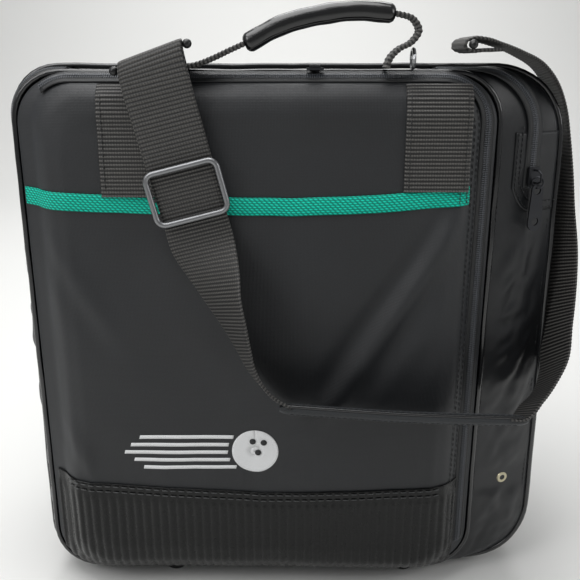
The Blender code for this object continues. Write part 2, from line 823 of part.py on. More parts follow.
# Front feet: rubber cones, each on a screw through the base and its board
RUBBER = (0.015, 0.015, 0.015)
COUNTERBORE = 0.005
for side, x in (("left", FOOT_LEFT), ("right", FOOT_RIGHT)):
    at = (x, FOOT_BACK, 0)
    add(
        f"foot_{side}",
        turned(
            [
                (COUNTERBORE, 0.0),
                (FOOT_RADIUS - 0.002, 0.0),
                (FOOT_RADIUS, FOOT_HEIGHT - GAP),
                (SCREW_RADIUS + GAP, FOOT_HEIGHT - GAP),
                (SCREW_RADIUS + GAP, 0.004),
                (COUNTERBORE, 0.004),
            ],
            at,
            UP,
        ),
        RUBBER,
        0.7,
    )
    screw_top = BASE_Z + SHELL + GAP + BASE_BOARD + 0.004
    add(
        f"foot_screw_{side}",
        turned(
            [
                (0, 0.0015),
                (0.0042, 0.0015),
                (0.0042, 0.004 - GAP),
                (SCREW_RADIUS, 0.004 - GAP),
                (SCREW_RADIUS, screw_top),
                (0, screw_top),
            ],
            at,
            UP,
            16,
        ),
        NICKEL,
        0.3,
        1.0,
    )
    screw_hole = add(
        f"foot_hole_{side}",
        turned(
            [(0, 0.0), (SCREW_RADIUS + GAP, 0.0), (SCREW_RADIUS + GAP, 0.03), (0, 0.03)],
            (x, FOOT_BACK, BASE_Z - 0.004),
            UP,
            16,
        ),
        SLATE,
        hidden=True,
    )
    boolean(base_panel, screw_hole)
    boolean(base_board, screw_hole)

# Rear wheels: each on an axle between the cheeks of a moulded housing
REAR_FACE = BODY_DEPTH + REAR_BULGE + GAP
HOUSING_BACK = 0.002
HOUSING_CHEEK = 0.0032
AXLE_Y = REAR_FACE + HOUSING_BACK + RUN + WHEEL_RADIUS + 0.001
WELL_HALF = WHEEL_WIDTH / 2 + RUN
for side, sign in (("left", -1), ("right", 1)):
    x = sign * WHEEL_SPREAD
    outer = WELL_HALF + HOUSING_CHEEK
    housing = add(
        f"wheel_housing_{side}",
        box((x - outer, REAR_FACE, 0.009), (x + outer, AXLE_Y + 0.012, 2 * WHEEL_RADIUS + 0.008)),
        (0.02, 0.02, 0.02),
        0.5,
    )
    well = add(
        f"wheel_well_{side}",
        box(
            (x - WELL_HALF, REAR_FACE + HOUSING_BACK, -0.01),
            (x + WELL_HALF, AXLE_Y + 0.05, 2 * WHEEL_RADIUS + 0.004),
        ),
        SLATE,
        hidden=True,
    )
    bore = add(
        f"axle_bore_{side}",
        turned(
            [(0, -0.03), (AXLE_RADIUS + GAP, -0.03), (AXLE_RADIUS + GAP, 0.03), (0, 0.03)],
            (x, AXLE_Y, WHEEL_RADIUS),
            (1, 0, 0),
            16,
        ),
        SLATE,
        hidden=True,
    )
    boolean(housing, well)
    boolean(housing, bore)
    axle_half = outer + GAP
    add(
        f"axle_{side}",
        turned(
            [
                (0, -axle_half - 0.0015),
                (0.005, -axle_half - 0.0015),
                (0.005, -axle_half),
                (AXLE_RADIUS, -axle_half),
                (AXLE_RADIUS, axle_half),
                (0.005, axle_half),
                (0.005, axle_half + 0.0015),
                (0, axle_half + 0.0015),
            ],
            (x, AXLE_Y, WHEEL_RADIUS),
            (1, 0, 0),
            16,
        ),
        NICKEL,
        0.3,
        1.0,
    )
    add(
        f"wheel_{side}",
        turned(
            [
                (AXLE_RADIUS + RUN, -WHEEL_WIDTH / 2),
                (WHEEL_RADIUS - 0.009, -WHEEL_WIDTH / 2),
                (WHEEL_RADIUS - 0.008, -WHEEL_WIDTH / 2 + 0.002),
                (WHEEL_RADIUS - 0.003, -WHEEL_WIDTH / 2 + 0.002),
                (WHEEL_RADIUS, -WHEEL_WIDTH / 2 + 0.005),
                (WHEEL_RADIUS, WHEEL_WIDTH / 2 - 0.005),
                (WHEEL_RADIUS - 0.003, WHEEL_WIDTH / 2 - 0.002),
                (WHEEL_RADIUS - 0.008, WHEEL_WIDTH / 2 - 0.002),
                (WHEEL_RADIUS - 0.009, WHEEL_WIDTH / 2),
                (AXLE_RADIUS + RUN, WHEEL_WIDTH / 2),
            ],
            (x, AXLE_Y, WHEEL_RADIUS),
            (1, 0, 0),
            32,
        ),
        (0.03, 0.03, 0.03),
        0.6,
        pivot=(x, AXLE_Y, WHEEL_RADIUS),
    )

# Pull handle: two stems that slide in square tubes held behind the rear panel, under one grip
ALUMINIUM = (0.6, 0.6, 0.62)
TUBE_Y = REAR_FACE + 0.002 + TUBE_SIDE / 2
TUBE_BOTTOM = 0.060
BRACKET_HEIGHT = 0.022
GRIP_BOTTOM = TOP_HEIGHT - 0.030
TUBE_TOP = GRIP_BOTTOM - GAP - RUN
STEM_SIDE = TUBE_SIDE - 2 * TUBE_WALL - 2 * RUN


def square(x, half, z):
    return [Vector((x + half * i, TUBE_Y + half * j, z)) for i, j in ((-1, -1), (1, -1), (1, 1), (-1, 1))]


brackets = [
    add(
        f"tube_bracket_{place}",
        box(
            (-TUBE_SPREAD - 0.014, REAR_FACE, z),
            (TUBE_SPREAD + 0.014, TUBE_Y + TUBE_SIDE / 2 + 0.0025, z + BRACKET_HEIGHT),
        ),
        (0.02, 0.02, 0.02),
        0.5,
    )
    for place, z in (("bottom", TUBE_BOTTOM + 0.003), ("top", TUBE_TOP - BRACKET_HEIGHT - GAP))
]
for side, sign in (("left", -1), ("right", 1)):
    x = sign * TUBE_SPREAD
    outer = TUBE_SIDE / 2
    inner = outer - TUBE_WALL
    outside = [square(x, outer, TUBE_BOTTOM), square(x, outer, TUBE_TOP)]
    rings = [*outside, square(x, inner, TUBE_TOP), square(x, inner, TUBE_BOTTOM)]
    add(f"pull_tube_{side}", loft(rings, closed=True), ALUMINIUM, 0.3, 1.0)
    hole = add(
        f"tube_hole_{side}",
        loft([square(x, outer + GAP, TUBE_BOTTOM - 0.02), square(x, outer + GAP, TOP_HEIGHT)]),
        SLATE,
        hidden=True,
    )
    for bracket in brackets:
        boolean(bracket, hole)
    stem = STEM_SIDE / 2
    add(
        f"pull_stem_{side}",
        loft([square(x, stem, TUBE_BOTTOM + 0.010), square(x, stem, GRIP_BOTTOM - GAP)]),
        ALUMINIUM,
        0.3,
        1.0,
    )
grip_low = (-TUBE_SPREAD - 0.012, TUBE_Y - 0.010, GRIP_BOTTOM)
grip_high = (TUBE_SPREAD + 0.012, TUBE_Y + 0.010, GRIP_BOTTOM + 0.024)
pull_grip = add("pull_grip", box(grip_low, grip_high), (0.02, 0.02, 0.02), 0.5)
rounding = pull_grip.modifiers.new("edges", "BEVEL")
rounding.width = 0.005
rounding.segments = 3

# Carrying handle: a moulded grip on folded webbing from the two legs
HANDLE_PIVOT = (0.028, -0.024, TOP_HEIGHT + 0.006)
HANDLE_Y = -0.012
FOLD = Vector((0, 0.0115, 0))
CORE = Vector((0, 0.0050, 0))
GRIP_PATH = [(-0.008, 0.478), (0.020, 0.492), (0.048, 0.499), (0.075, 0.502), (0.104, 0.500)]
WEB_LEFT_PATH = [(-0.044, 0.4625), (-0.032, 0.4670), (-0.020, 0.4725)]
WEB_RIGHT_PATH = [
    (0.1000, 0.4625),
    (0.1005, 0.4680),
    (0.1065, 0.4745),
    (0.1170, 0.4800),
    (0.1220, 0.4880),
    (0.1180, 0.4950),
]


def raised(z):
    """Heights of the handle are drawn for the nominal top and follow it."""
    return z + TOP_HEIGHT - 0.458


def along_grip(gap, start):
    """The point where webbing meets the end of the grip."""
    first, second = (GRIP_PATH[0], GRIP_PATH[1]) if start else (GRIP_PATH[-1], GRIP_PATH[-2])
    way = Vector((second[0] - first[0], 0, second[1] - first[1])).normalized()
    return Vector((first[0], HANDLE_Y, raised(first[1]))) - way * gap


add(
    "handle_grip",
    tube([(x, HANDLE_Y, raised(z)) for x, z in GRIP_PATH], GRIP_RADIUS, 12),
    (0.015, 0.015, 0.017),
    0.15,
    pivot=HANDLE_PIVOT,
)
web_left = [((x, HANDLE_Y, raised(z)), FOLD) for x, z in WEB_LEFT_PATH]
web_left.append((along_grip(GAP + 0.0012, True), CORE))
web_right = [((x, HANDLE_Y, raised(z)), FOLD) for x, z in WEB_RIGHT_PATH]
web_right.append((along_grip(GAP + 0.0012, False), CORE))
add("handle_web_left", ribbon(web_left, 2 * WEB), (0.02, 0.02, 0.02), 0.7, pivot=HANDLE_PIVOT)
add("handle_web_right", ribbon(web_right, 2 * WEB), (0.02, 0.02, 0.02), 0.7, pivot=HANDLE_PIVOT)

# Strap hardware: a D-ring over each leg and the moulded clip that hooks through it
RING_X = {"left": LEG_LEFT + 0.0285, "right": LEG_RIGHT - 0.0195}
D_RING_Y = -0.008
D_RING_Z = TOP_HEIGHT + 0.010
D_RING_RADIUS = 0.007
D_RING_WIRE = 0.0015
BLOCK = (0.016, 0.014, 0.006)
BLOCK_Y = D_RING_Y - D_RING_RADIUS
LOOP_WIRE = 0.0022
LEFT_BAR = [Vector((-0.103, -0.030, 0.4595)), Vector((-0.049, -0.030, 0.4785))]
RIGHT_BAR = [Vector((0.158, -0.034, 0.478)), Vector((0.158, 0.024, 0.478))]


def lifted(point):
    return Vector((point[0], point[1], raised(point[2])))


for side, bar in (("left", LEFT_BAR), ("right", RIGHT_BAR)):
    x = RING_X[side]
    add(
        f"d_ring_{side}",
        tube(
            circle(Vector((x, D_RING_Y, D_RING_Z)), Vector((0, 1, 0)), UP, D_RING_RADIUS, 16),
            D_RING_WIRE,
            6,
            closed=True,
        ),
        NICKEL,
        0.3,
        1.0,
    )
    clip = add(f"strap_clip_{side}", plate((x, BLOCK_Y, D_RING_Z), AXES, BLOCK), (0.02, 0.02, 0.02), 0.4)
    inner = Vector((x, BLOCK_Y, D_RING_Z))
    spread = Vector((0.005, 0, 0)) if side == "left" else Vector((0, 0.005, 0))
    reach = Vector((0, -0.004, 0)) if side == "left" else Vector((0.005, 0, 0))
    loop = add(
        f"strap_clip_loop_{side}",
        tube(
            [inner - spread + reach, lifted(bar[0]), lifted(bar[1]), inner + spread + reach],
            LOOP_WIRE,
            8,
            closed=True,
        ),
        SLATE,
        hidden=True,
    )
    throat = add(
        f"strap_clip_throat_{side}",
        turned(
            [(0, -0.01), (0.0028, -0.01), (0.0028, 0.01), (0, 0.01)],
            (x, BLOCK_Y + 0.0002, D_RING_Z),
            UP,
            16,
        ),
        SLATE,
        hidden=True,
    )
    boolean(clip, loop, "UNION")
    boolean(clip, throat)

# Shoulder strap: webbing from the left clip down the front, a stiff pad across it, and webbing
# round the right side and back over the top to the right clip
STRAP_Y = -0.036
strap_top = lifted((-0.0762, STRAP_Y, 0.4660))
strap_run = (lifted((-0.0340, STRAP_Y, 0.3000)) - strap_top).normalized()
strap_side = Vector((-strap_run.z, 0, strap_run.x)) * WEB_WIDTH / 2
FLAT_END = 0.140  # the strap is flat for this far below the left clip
TWIST = [
    ((-0.0290, -0.0460, 0.2950), (0.0180, -0.0160, 0.0060)),
    ((-0.0170, -0.0510, 0.2660), (0.0105, -0.0215, 0.0075)),
    ((-0.0050, -0.0540, 0.2340), (0.0040, -0.0225, 0.0100)),
    ((0.0040, -0.0545, 0.2190), (0.0010, -0.0225, 0.0108)),
    ((0.0140, -0.0545, 0.2075), (0.0, -0.0225, 0.0110)),
    ((0.0245, -0.0545, 0.2000), (0.0, -0.0225, 0.0110)),
]
front_stations = [(strap_top + strap_run * s, strap_side) for s in (0.0, FLAT_END)] + TWIST
add("strap_front", ribbon(front_stations), (0.02, 0.02, 0.02), 0.7)

PAD_HALF = Vector((0, -0.0225, 0.0110))
PAD_THICK = 0.009
PAD_PATH = [
    (0.027, -0.0545, 0.1985),
    (0.060, -0.0545, 0.1960),
    (0.110, -0.0545, 0.1925),
    (0.160, -0.0545, 0.1905),
    (0.205, -0.0545, 0.1895),
]
add("shoulder_pad", ribbon([(p, PAD_HALF) for p in PAD_PATH], PAD_THICK), (0.05, 0.05, 0.052), 0.5)

SIDE_ROUTE = [
    ((0.2075, -0.0545, 0.1895), (0.0, -0.0225, 0.0110)),
    ((0.2255, -0.0385, 0.1965), (0.0020, -0.0215, 0.0125)),
    ((0.2402, -0.0235, 0.2040), (0.0020, -0.0205, 0.0140)),
    ((0.2537, -0.0075, 0.2180), (0.0, -0.0205, 0.0140)),
    ((0.2601, 0.0090, 0.2420), (0.0, -0.0210, 0.0130)),
    ((0.2662, 0.0225, 0.2665), (0.0, -0.0225, 0.0105)),
    ((0.2690, 0.0390, 0.3085), (0.0, -0.0240, 0.0065)),
    ((0.2662, 0.0500, 0.3440), (0.0, -0.0246, 0.0035)),
    ((0.2632, 0.0548, 0.3780), (0.0, -0.0248, 0.0015)),
    ((0.2590, 0.0550, 0.4060), (-0.0010, -0.0249, 0.0005)),
    ((0.2535, 0.0500, 0.4270), (-0.0020, -0.0245, 0.0010)),
    ((0.2420, 0.0410, 0.4465), (-0.0020, -0.0245, 0.0020)),
    ((0.2260, 0.0280, 0.4620), (-0.0030, -0.0245, 0.0020)),
    ((0.2040, 0.0120, 0.4720), (-0.0030, -0.0245, 0.0010)),
    ((0.1820, 0.0000, 0.4790), (-0.0015, -0.0249, 0.0)),
    ((0.1615, -0.0050, 0.4820), (0.0, -0.0249, 0.0)),
]


def beside(point):
    """Places round the right side are drawn for the nominal width and follow it."""
    share = min(max((point[0] - 0.170) / 0.035, 0), 1)
    return lifted((point[0] + (HALF - 0.191) * share, point[1], point[2]))


add("strap_side", ribbon([(beside(c), h) for c, h in SIDE_ROUTE]), (0.02, 0.02, 0.02), 0.7)

# Strap slider: a wire frame in front of the strap, with a bar behind it
SLIDER_DOWN = 0.098  # from the left clip along the strap
SLIDER_LONG = 0.040
SLIDER_WIDE = WEB_WIDTH + 2 * RUN + 0.0045
SLIDER_WIRE = 0.0022
slider_middle = strap_top + strap_run * SLIDER_DOWN
across = strap_side.normalized()
ahead = Vector((0, -1, 0))
corner = 0.006
half_long, half_wide = SLIDER_LONG / 2, SLIDER_WIDE / 2
SLIDER_FRONT = WEB / 2 + RUN + SLIDER_WIRE
strap_slider = add(
    "strap_slider",
    tube(
        [
            slider_middle + across * u + strap_run * v + ahead * SLIDER_FRONT
            for u, v in rounded(-half_wide, half_wide, -half_long, half_long, corner)
        ],
        SLIDER_WIRE,
        8,
        closed=True,
    ),
    (0.22, 0.22, 0.23),
    0.25,
    0.9,
    pivot=slider_middle,
)
back_bar = add(
    "strap_slider_bar",
    tube(
        [
            slider_middle + across * half_wide + ahead * SLIDER_FRONT,
            slider_middle + across * half_wide - ahead * (WEB / 2 + RUN + SLIDER_WIRE),
            slider_middle - across * half_wide - ahead * (WEB / 2 + RUN + SLIDER_WIRE),
            slider_middle - across * half_wide + ahead * SLIDER_FRONT,
        ],
        SLIDER_WIRE * 0.8,
        8,
    ),
    SLATE,
    hidden=True,
)
boolean(strap_slider, back_bar, "UNION", solver="MANIFOLD")

# The whole stands with the middle of its footprint at the origin
bpy.context.view_layer.update()
corners = [
    piece.matrix_world @ Vector(point)
    for piece in frame.children
    if not piece.hide_render
    for point in piece.bound_box
]
low, high = (Vector(pick(point[i] for point in corners) for i in range(3)) for pick in (min, max))
frame.location = (-(low.x + high.x) / 2, -(low.y + high.y) / 2, -low.z)
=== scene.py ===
import math

import bpy
import numpy as np
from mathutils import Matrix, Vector, noise


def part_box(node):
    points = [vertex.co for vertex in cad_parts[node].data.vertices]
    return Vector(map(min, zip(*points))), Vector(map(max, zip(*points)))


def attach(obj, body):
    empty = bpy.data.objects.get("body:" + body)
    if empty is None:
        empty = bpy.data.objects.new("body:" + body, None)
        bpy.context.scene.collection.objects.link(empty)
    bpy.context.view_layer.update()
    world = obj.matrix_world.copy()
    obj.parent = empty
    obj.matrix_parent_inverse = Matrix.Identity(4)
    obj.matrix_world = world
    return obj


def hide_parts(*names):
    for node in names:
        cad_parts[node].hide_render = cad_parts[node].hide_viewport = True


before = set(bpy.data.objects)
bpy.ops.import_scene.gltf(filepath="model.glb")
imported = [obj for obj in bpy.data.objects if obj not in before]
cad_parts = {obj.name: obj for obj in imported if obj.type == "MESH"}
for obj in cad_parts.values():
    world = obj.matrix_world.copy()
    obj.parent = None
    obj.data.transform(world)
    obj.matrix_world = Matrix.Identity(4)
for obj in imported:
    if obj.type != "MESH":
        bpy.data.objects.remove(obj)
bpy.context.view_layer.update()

# Camera: it looks at the bag from just above its top edge, a little to the right of the middle
# of the front. Places on the bag are given from the middle of the front piping, in metres.
piping_low, piping_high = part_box("front_piping")
MIDDLE = np.array(((piping_low.x + piping_high.x) / 2, (piping_low.y + piping_high.y) / 2, 0))


def at(x, y, z):
    return Vector(MIDDLE) + Vector((x, y, z))


lens = bpy.data.cameras.new("bag_camera")
lens.lens = 45.93
lens.sensor_width = 36
lens.clip_start = 0.01
camera = bpy.data.objects.new("bag_camera", lens)
camera.location = at(0.029, -0.595, 0.467)
camera.rotation_euler = (math.radians(90 - 17.25), 0, math.radians(0.3))
bpy.context.scene.collection.objects.link(camera)
bpy.context.scene.camera = camera
bpy.context.scene.view_settings.view_transform = "Standard"


# Table and wall: a pale matt board that curves up behind the bag in one sweep, under soft
# lamps above, to the left and to the right.
def linear(code):
    values = [int(code[i : i + 2], 16) / 255 for i in (1, 3, 5)]
    return (*(v / 12.92 if v <= 0.04045 else ((v + 0.055) / 1.055) ** 2.4 for v in values), 1.0)


def add_node(tree, kind, values=None, links=None, **settings):
    made = tree.nodes.new(kind)
    for key, value in settings.items():
        setattr(made, key, value)
    for key, value in (values or {}).items():
        made.inputs[key].default_value = value
    for key, source in (links or {}).items():
        tree.links.new(source, made.inputs[key])
    return made


def start_finish(name, colour, roughness, **values):
    """A material with its own colour and gloss; values are other sockets of its shader."""
    material = bpy.data.materials.new(name)
    material.use_nodes = True
    shader = material.node_tree.nodes["Principled BSDF"]
    shader.inputs["Base Color"].default_value = linear(colour)
    shader.inputs["Roughness"].default_value = roughness
    for key, value in values.items():
        shader.inputs[key.replace("_", " ")].default_value = value
    return material, material.node_tree, shader


def link_up(name, points, faces, materials, uvs=None, smooth=35):
    """An object from points and faces, with uvs in metres for each corner of each face."""
    data = bpy.data.meshes.new(name)
    data.from_pydata([tuple(p) for p in points], [], [tuple(f) for f in faces])
    if uvs is not None:
        layer = data.uv_layers.new(name="metres")
        layer.data.foreach_set("uv", np.asarray(uvs, float).ravel())
    data.shade_smooth()
    data.set_sharp_from_angle(angle=math.radians(smooth))
    for material in materials:
        data.materials.append(material)
    made = bpy.data.objects.new(name, data)
    bpy.context.scene.collection.objects.link(made)
    return made


board, tree, shader = start_finish("matt_painted_board", "#e4e4e2", 0.75)
grain = add_node(tree, "ShaderNodeTexNoise", {"Scale": 350.0, "Detail": 3.0})
tree.links.new(
    add_node(tree, "ShaderNodeBump", {"Strength": 0.05, "Distance": 0.0002}, {"Height": grain.outputs["Fac"]}).outputs[0],
    shader.inputs["Normal"],
)
COVE = 1.6
WALL_Y = 3.4
sweep = [(-4.0, 0.0), (WALL_Y - COVE, 0.0)]
sweep += [(WALL_Y - COVE + COVE * math.sin(t), COVE - COVE * math.cos(t)) for t in np.linspace(0.1, math.pi / 2, 14)]
sweep += [(WALL_Y, 3.0)]
sweep_points = [(x, y, z - 0.0002) for y, z in sweep for x in (-5.0, 5.0)]
sweep_faces = [(2 * i, 2 * i + 1, 2 * i + 3, 2 * i + 2) for i in range(len(sweep) - 1)]
table = link_up("studio_sweep", sweep_points, sweep_faces, [board])

for name, place, size, power in (
    ("top_lamp", (-0.25, -0.10, 1.70), 1.3, 21),
    ("left_lamp", (-1.15, -0.85, 1.25), 0.9, 9),
    ("right_lamp", (1.30, -0.45, 0.80), 0.6, 4),
    ("wall_lamp", (0.0, 1.60, 2.20), 1.6, 40),
):
    lamp = bpy.data.lights.new(name, "AREA")
    lamp.size = size
    lamp.energy = power
    holder = bpy.data.objects.new(name, lamp)
    holder.location = at(*place)
    target = at(0.0, 2.4, 0.3) if name == "wall_lamp" else at(0.02, 0.05, 0.22)
    holder.rotation_euler = (target - holder.location).to_track_quat("-Z", "Y").to_euler()
    bpy.context.scene.collection.objects.link(holder)
world = bpy.data.worlds.new("pale_room")
world.use_nodes = True
world.node_tree.nodes["Background"].inputs["Color"].default_value = linear("#f4f5f6")
world.node_tree.nodes["Background"].inputs["Strength"].default_value = 0.30
bpy.context.scene.world = world


# Front cover: black 600-denier nylon, cut as one piece and pulled over foam and a board, so that
# it stands out like a shallow cushion, with slack that has set into soft diagonal folds.
HALF = 0.191
BASE = 0.011
TOP = 0.458
BULGE = 0.0265
# Steps from the piping to the flat: insets at the side, top and bottom, how proud, corner radius
STEPS = np.array(
    [
        (0.0030, 0.002, 0.002, 0.0026, 0.038),
        (0.0090, 0.003, 0.003, 0.0060, 0.036),
        (0.0160, 0.005, 0.006, 0.0100, 0.034),
        (0.0220, 0.009, 0.012, 0.0170, 0.032),
        (0.0300, 0.017, 0.022, 0.0235, 0.028),
        (0.0420, 0.030, 0.038, BULGE, 0.022),
    ]
)
step_at = np.linspace(0, 5, 101)
step_table = np.array([np.interp(step_at, range(6), column) for column in STEPS.T])
padded_table = np.pad(step_table, ((0, 0), (6, 6)), mode="reflect", reflect_type="odd")
step_table = np.array([np.convolve(row, np.hanning(15)[1:-1] / np.hanning(15).sum(), "valid") for row in padded_table])

# Folds as lines of (x, z), how wide, how deep on the lit side and how deep on the far side
FOLDS = [
    ([(0.157, 0.366), (0.1399, 0.3322), (0.1247, 0.3053), (0.0937, 0.256), (0.0709, 0.2188), (0.040, 0.170)], 0.0100, -0.0062, 0.0050),
    ([(0.150, 0.305), (0.1403, 0.2827), (0.1279, 0.257), (0.1165, 0.2394), (0.0900, 0.188)], 0.010, -0.0020, 0.0024),
    ([(-0.172, 0.338), (-0.1644, 0.3232), (-0.1563, 0.3068), (-0.144, 0.2816), (-0.1214, 0.240)], 0.009, -0.0022, 0.0014),
    ([(-0.172, 0.175), (-0.1706, 0.1691), (-0.1625, 0.1452), (-0.1508, 0.1177)], 0.008, -0.0018, 0.0012),
    ([(-0.155, 0.434), (-0.040, 0.4250), (0.060, 0.4230), (0.120, 0.4300)], 0.016, -0.0010, 0.0016),
    ([(-0.100, 0.330), (-0.060, 0.260), (-0.050, 0.200)], 0.030, -0.0010, 0.0016),
    ([(0.000, 0.345), (0.030, 0.290), (0.030, 0.230)], 0.035, -0.0012, 0.0016),
]


def fold_height(x, z):
    """How far the cloth stands out (+) or sinks (-) at each (x, z)."""
    height = np.zeros_like(x)
    for line, width, crest, hollow in FOLDS:
        line = np.array(line)
        length = np.linalg.norm(np.diff(line, axis=0), axis=1).sum()
        nearest = np.full(x.shape, 1e9)
        side = np.zeros_like(x)
        share = np.zeros_like(x)
        run = 0.0
        for a, b in zip(line, line[1:]):
            way = b - a
            reach = np.linalg.norm(way)
            way = way / reach
            t = np.clip((x - a[0]) * way[0] + (z - a[1]) * way[1], 0, reach)
            dx, dz = x - a[0] - t * way[0], z - a[1] - t * way[1]
            gap = np.hypot(dx, dz)
            closer = gap < nearest
            nearest = np.where(closer, gap, nearest)
            side = np.where(closer, dx * way[1] - dz * way[0], side)
            share = np.where(closer, (run + t) / length, share)
            run += reach
        ends = np.sin(np.pi * np.clip(share, 0.02, 0.98)) ** 0.6
        ridge = np.exp(-(((side + width * 0.75) / width) ** 2))
        valley = np.exp(-(((side - width * 0.75) / width) ** 2))
        near = np.exp(-((np.maximum(nearest - np.abs(side), 0) / (width * 0.8)) ** 2))
        height += ends * near * (-crest * ridge - hollow * valley)
    return height


def noise_at(points, scale, seed=0.0):
    return np.array([noise.noise(Vector(p) * scale + Vector((seed, seed, seed))) for p in points])


def slack(x, z):
    """Slow waves of the cloth, and the small puckers that its seams draw into it."""
    flat = np.stack([x.ravel(), z.ravel(), np.zeros(x.size)], 1)
    waves = noise_at(flat, 11.0, 3.1).reshape(x.shape) * 0.0022 + noise_at(flat, 26.0, 7.7).reshape(x.shape) * 0.0010
    puckers = noise_at(flat * (1.0, 0.25, 1.0), 95.0, 1.3).reshape(x.shape)
    seam = np.exp(-(((x - 0.150) / 0.016) ** 2)) + np.exp(-(((z - 0.120) / 0.014) ** 2))
    return waves + puckers * 0.0006 * seam


def front_proud(x, z):
    """How proud of the piping the bare cushion shape is at each (x, z)."""
    low, high = np.zeros_like(x), np.full_like(x, 5.0)
    for _ in range(22):
        middle = (low + high) / 2
        side, top, bottom, _, radius = (np.interp(middle, step_at, row) for row in step_table)
        wide = HALF - side
        centre_z = (TOP - top + BASE + bottom) / 2
        tall = (TOP - top - BASE - bottom) / 2
        qx, qz = np.abs(x) - wide + radius, np.abs(z - centre_z) - tall + radius
        out = np.hypot(np.maximum(qx, 0), np.maximum(qz, 0)) + np.minimum(np.maximum(qx, qz), 0) - radius
        low = np.where(out < 0, middle, low)
        high = np.where(out < 0, high, middle)
    return np.interp((low + high) / 2, step_at, step_table[3])


def front_y(x, z, out=0.0):
    """The y of the cover's face at each (x, z), moved out by a distance."""
    x, z = np.asarray(x, float), np.asarray(z, float)
    proud = front_proud(x, z)
    free = np.clip((proud - 0.004) / 0.016, 0, 1)
    fuller = 0.0026 * np.clip((x + 0.010) / 0.060, 0, 1) * np.clip((0.372 - z) / 0.035, 0, 1)
    loose = np.maximum(fold_height(x, z) + slack(x, z) + fuller, -0.0024)
    return -(proud + free * loose + out)


def grid_faces(rows, columns, closed=False):
    width = columns if closed else columns - 1
    return [
        (i * columns + j, i * columns + (j + 1) % columns, (i + 1) * columns + (j + 1) % columns, (i + 1) * columns + j)
        for i in range(rows - 1)
        for j in range(width)
    ]


def corner_uvs(faces, uv):
    return [uv[i] for face in faces for i in face]


def sheet_from(name, points, materials, thickness=0.0012, uv=None, flip=False, smooth=60):
    """A cloth from a grid of points (rows, columns, 3), given a thickness behind its face."""
    rows, columns = points.shape[:2]
    faces = grid_faces(rows, columns)
    if flip:
        faces = [face[::-1] for face in faces]
    if uv is None:
        across = np.linalg.norm(np.diff(points[rows // 2], axis=0), axis=1)
        along = np.linalg.norm(np.diff(points[:, columns // 2], axis=0), axis=1)
        u = np.concatenate([[0], np.cumsum(across)])
        v = np.concatenate([[0], np.cumsum(along)])
        uv = np.stack(np.meshgrid(u, v), 2)
    made = link_up(name, points.reshape(-1, 3), faces, materials, corner_uvs(faces, uv.reshape(-1, 2)), smooth)
    depth = made.modifiers.new("cloth thickness", "SOLIDIFY")
    depth.thickness = thickness
    depth.offset = -1
    return made


def outline(left, right, bottom, top, radius, count_x, count_z, left_radius=None):
    """A rounded rectangle from its lower left corner, anticlockwise from the front, with count_x
    points along the bottom and the top and count_z along each side."""
    q = radius if left_radius is None else left_radius
    corners = [(left + q, bottom + q, q, 180), (right - radius, bottom + radius, radius, 270),
               (right - radius, top - radius, radius, 0), (left + q, top - q, q, 90)]
    points = []
    for k, count in enumerate((count_x, count_z, count_x, count_z)):
        (ax, az, ar, turn), (bx, bz, br, _) = corners[k], corners[(k + 1) % 4]
        start = [(ax + ar * math.cos(t), az + ar * math.sin(t)) for t in np.radians(np.linspace(turn + 45, turn + 90, 9))]
        end = [(bx + br * math.cos(t), bz + br * math.sin(t)) for t in np.radians(np.linspace(turn + 90, turn + 135, 9))]
        path = np.array(start + end)
        run = np.concatenate([[0], np.cumsum(np.linalg.norm(np.diff(path, axis=0), axis=1))])
        wanted = np.linspace(0, run[-1], count, endpoint=False)
        points += list(np.stack([np.interp(wanted, run, path[:, 0]), np.interp(wanted, run, path[:, 1])], 1))
    return np.array(points)


THREAD = 0.0011  # two threads of the weave; the real 0.5 mm is too fine to show, so it is drawn doubled
WAVE = math.tau / 20  # length of one band of a wave texture at scale 1


def woven_cloth(name, dark, light, roughness, bump=0.35, sheen=0.35, pitch=THREAD):
    """Nylon cloth: crossed threads that show as a fine grain, and a dull bloom where it is worn."""
    material, tree, shader = start_finish(name, dark, roughness, Sheen_Weight=sheen, Sheen_Roughness=0.4)
    shader.inputs["Sheen Tint"].default_value = linear("#b9bfc6")
    uv = add_node(tree, "ShaderNodeTexCoord").outputs["UV"]
    threads = [
        add_node(tree, "ShaderNodeTexWave", {"Scale": WAVE / pitch, "Distortion": 0.6, "Detail Scale": 2.0}, {"Vector": uv}, bands_direction=way).outputs["Fac"]
        for way in ("X", "Y")
    ]
    cross = add_node(tree, "ShaderNodeMath", links={0: threads[0], 1: threads[1]}, operation="MULTIPLY").outputs[0]
    worn = add_node(tree, "ShaderNodeTexNoise", {"Scale": 9.0, "Detail": 5.0, "Roughness": 0.6}, {"Vector": uv}).outputs["Fac"]
    grain = add_node(tree, "ShaderNodeTexNoise", {"Scale": 900.0, "Detail": 2.0}, {"Vector": uv}).outputs["Fac"]
    tone = add_node(tree, "ShaderNodeMath", {1: 0.5}, {0: worn, 2: grain}, operation="MULTIPLY_ADD")
    tree.links.new(add_node(tree, "ShaderNodeMath", {1: 0.5}, {0: grain}, operation="MULTIPLY").outputs[0], tone.inputs[2])
    ramp = add_node(tree, "ShaderNodeValToRGB", links={"Fac": tone.outputs[0]})
    ramp.color_ramp.elements[0].position = 0.32
    ramp.color_ramp.elements[0].color = linear(dark)
    ramp.color_ramp.elements[1].position = 0.68
    ramp.color_ramp.elements[1].color = linear(light)
    tree.links.new(ramp.outputs["Color"], shader.inputs["Base Color"])
    tree.links.new(
        add_node(tree, "ShaderNodeBump", {"Strength": bump, "Distance": 0.0003}, {"Height": cross}).outputs[0],
        shader.inputs["Normal"],
    )
    return material


matt_nylon = woven_cloth("woven_matt_nylon", "#151618", "#222427", 0.50, 0.5, 0.12)

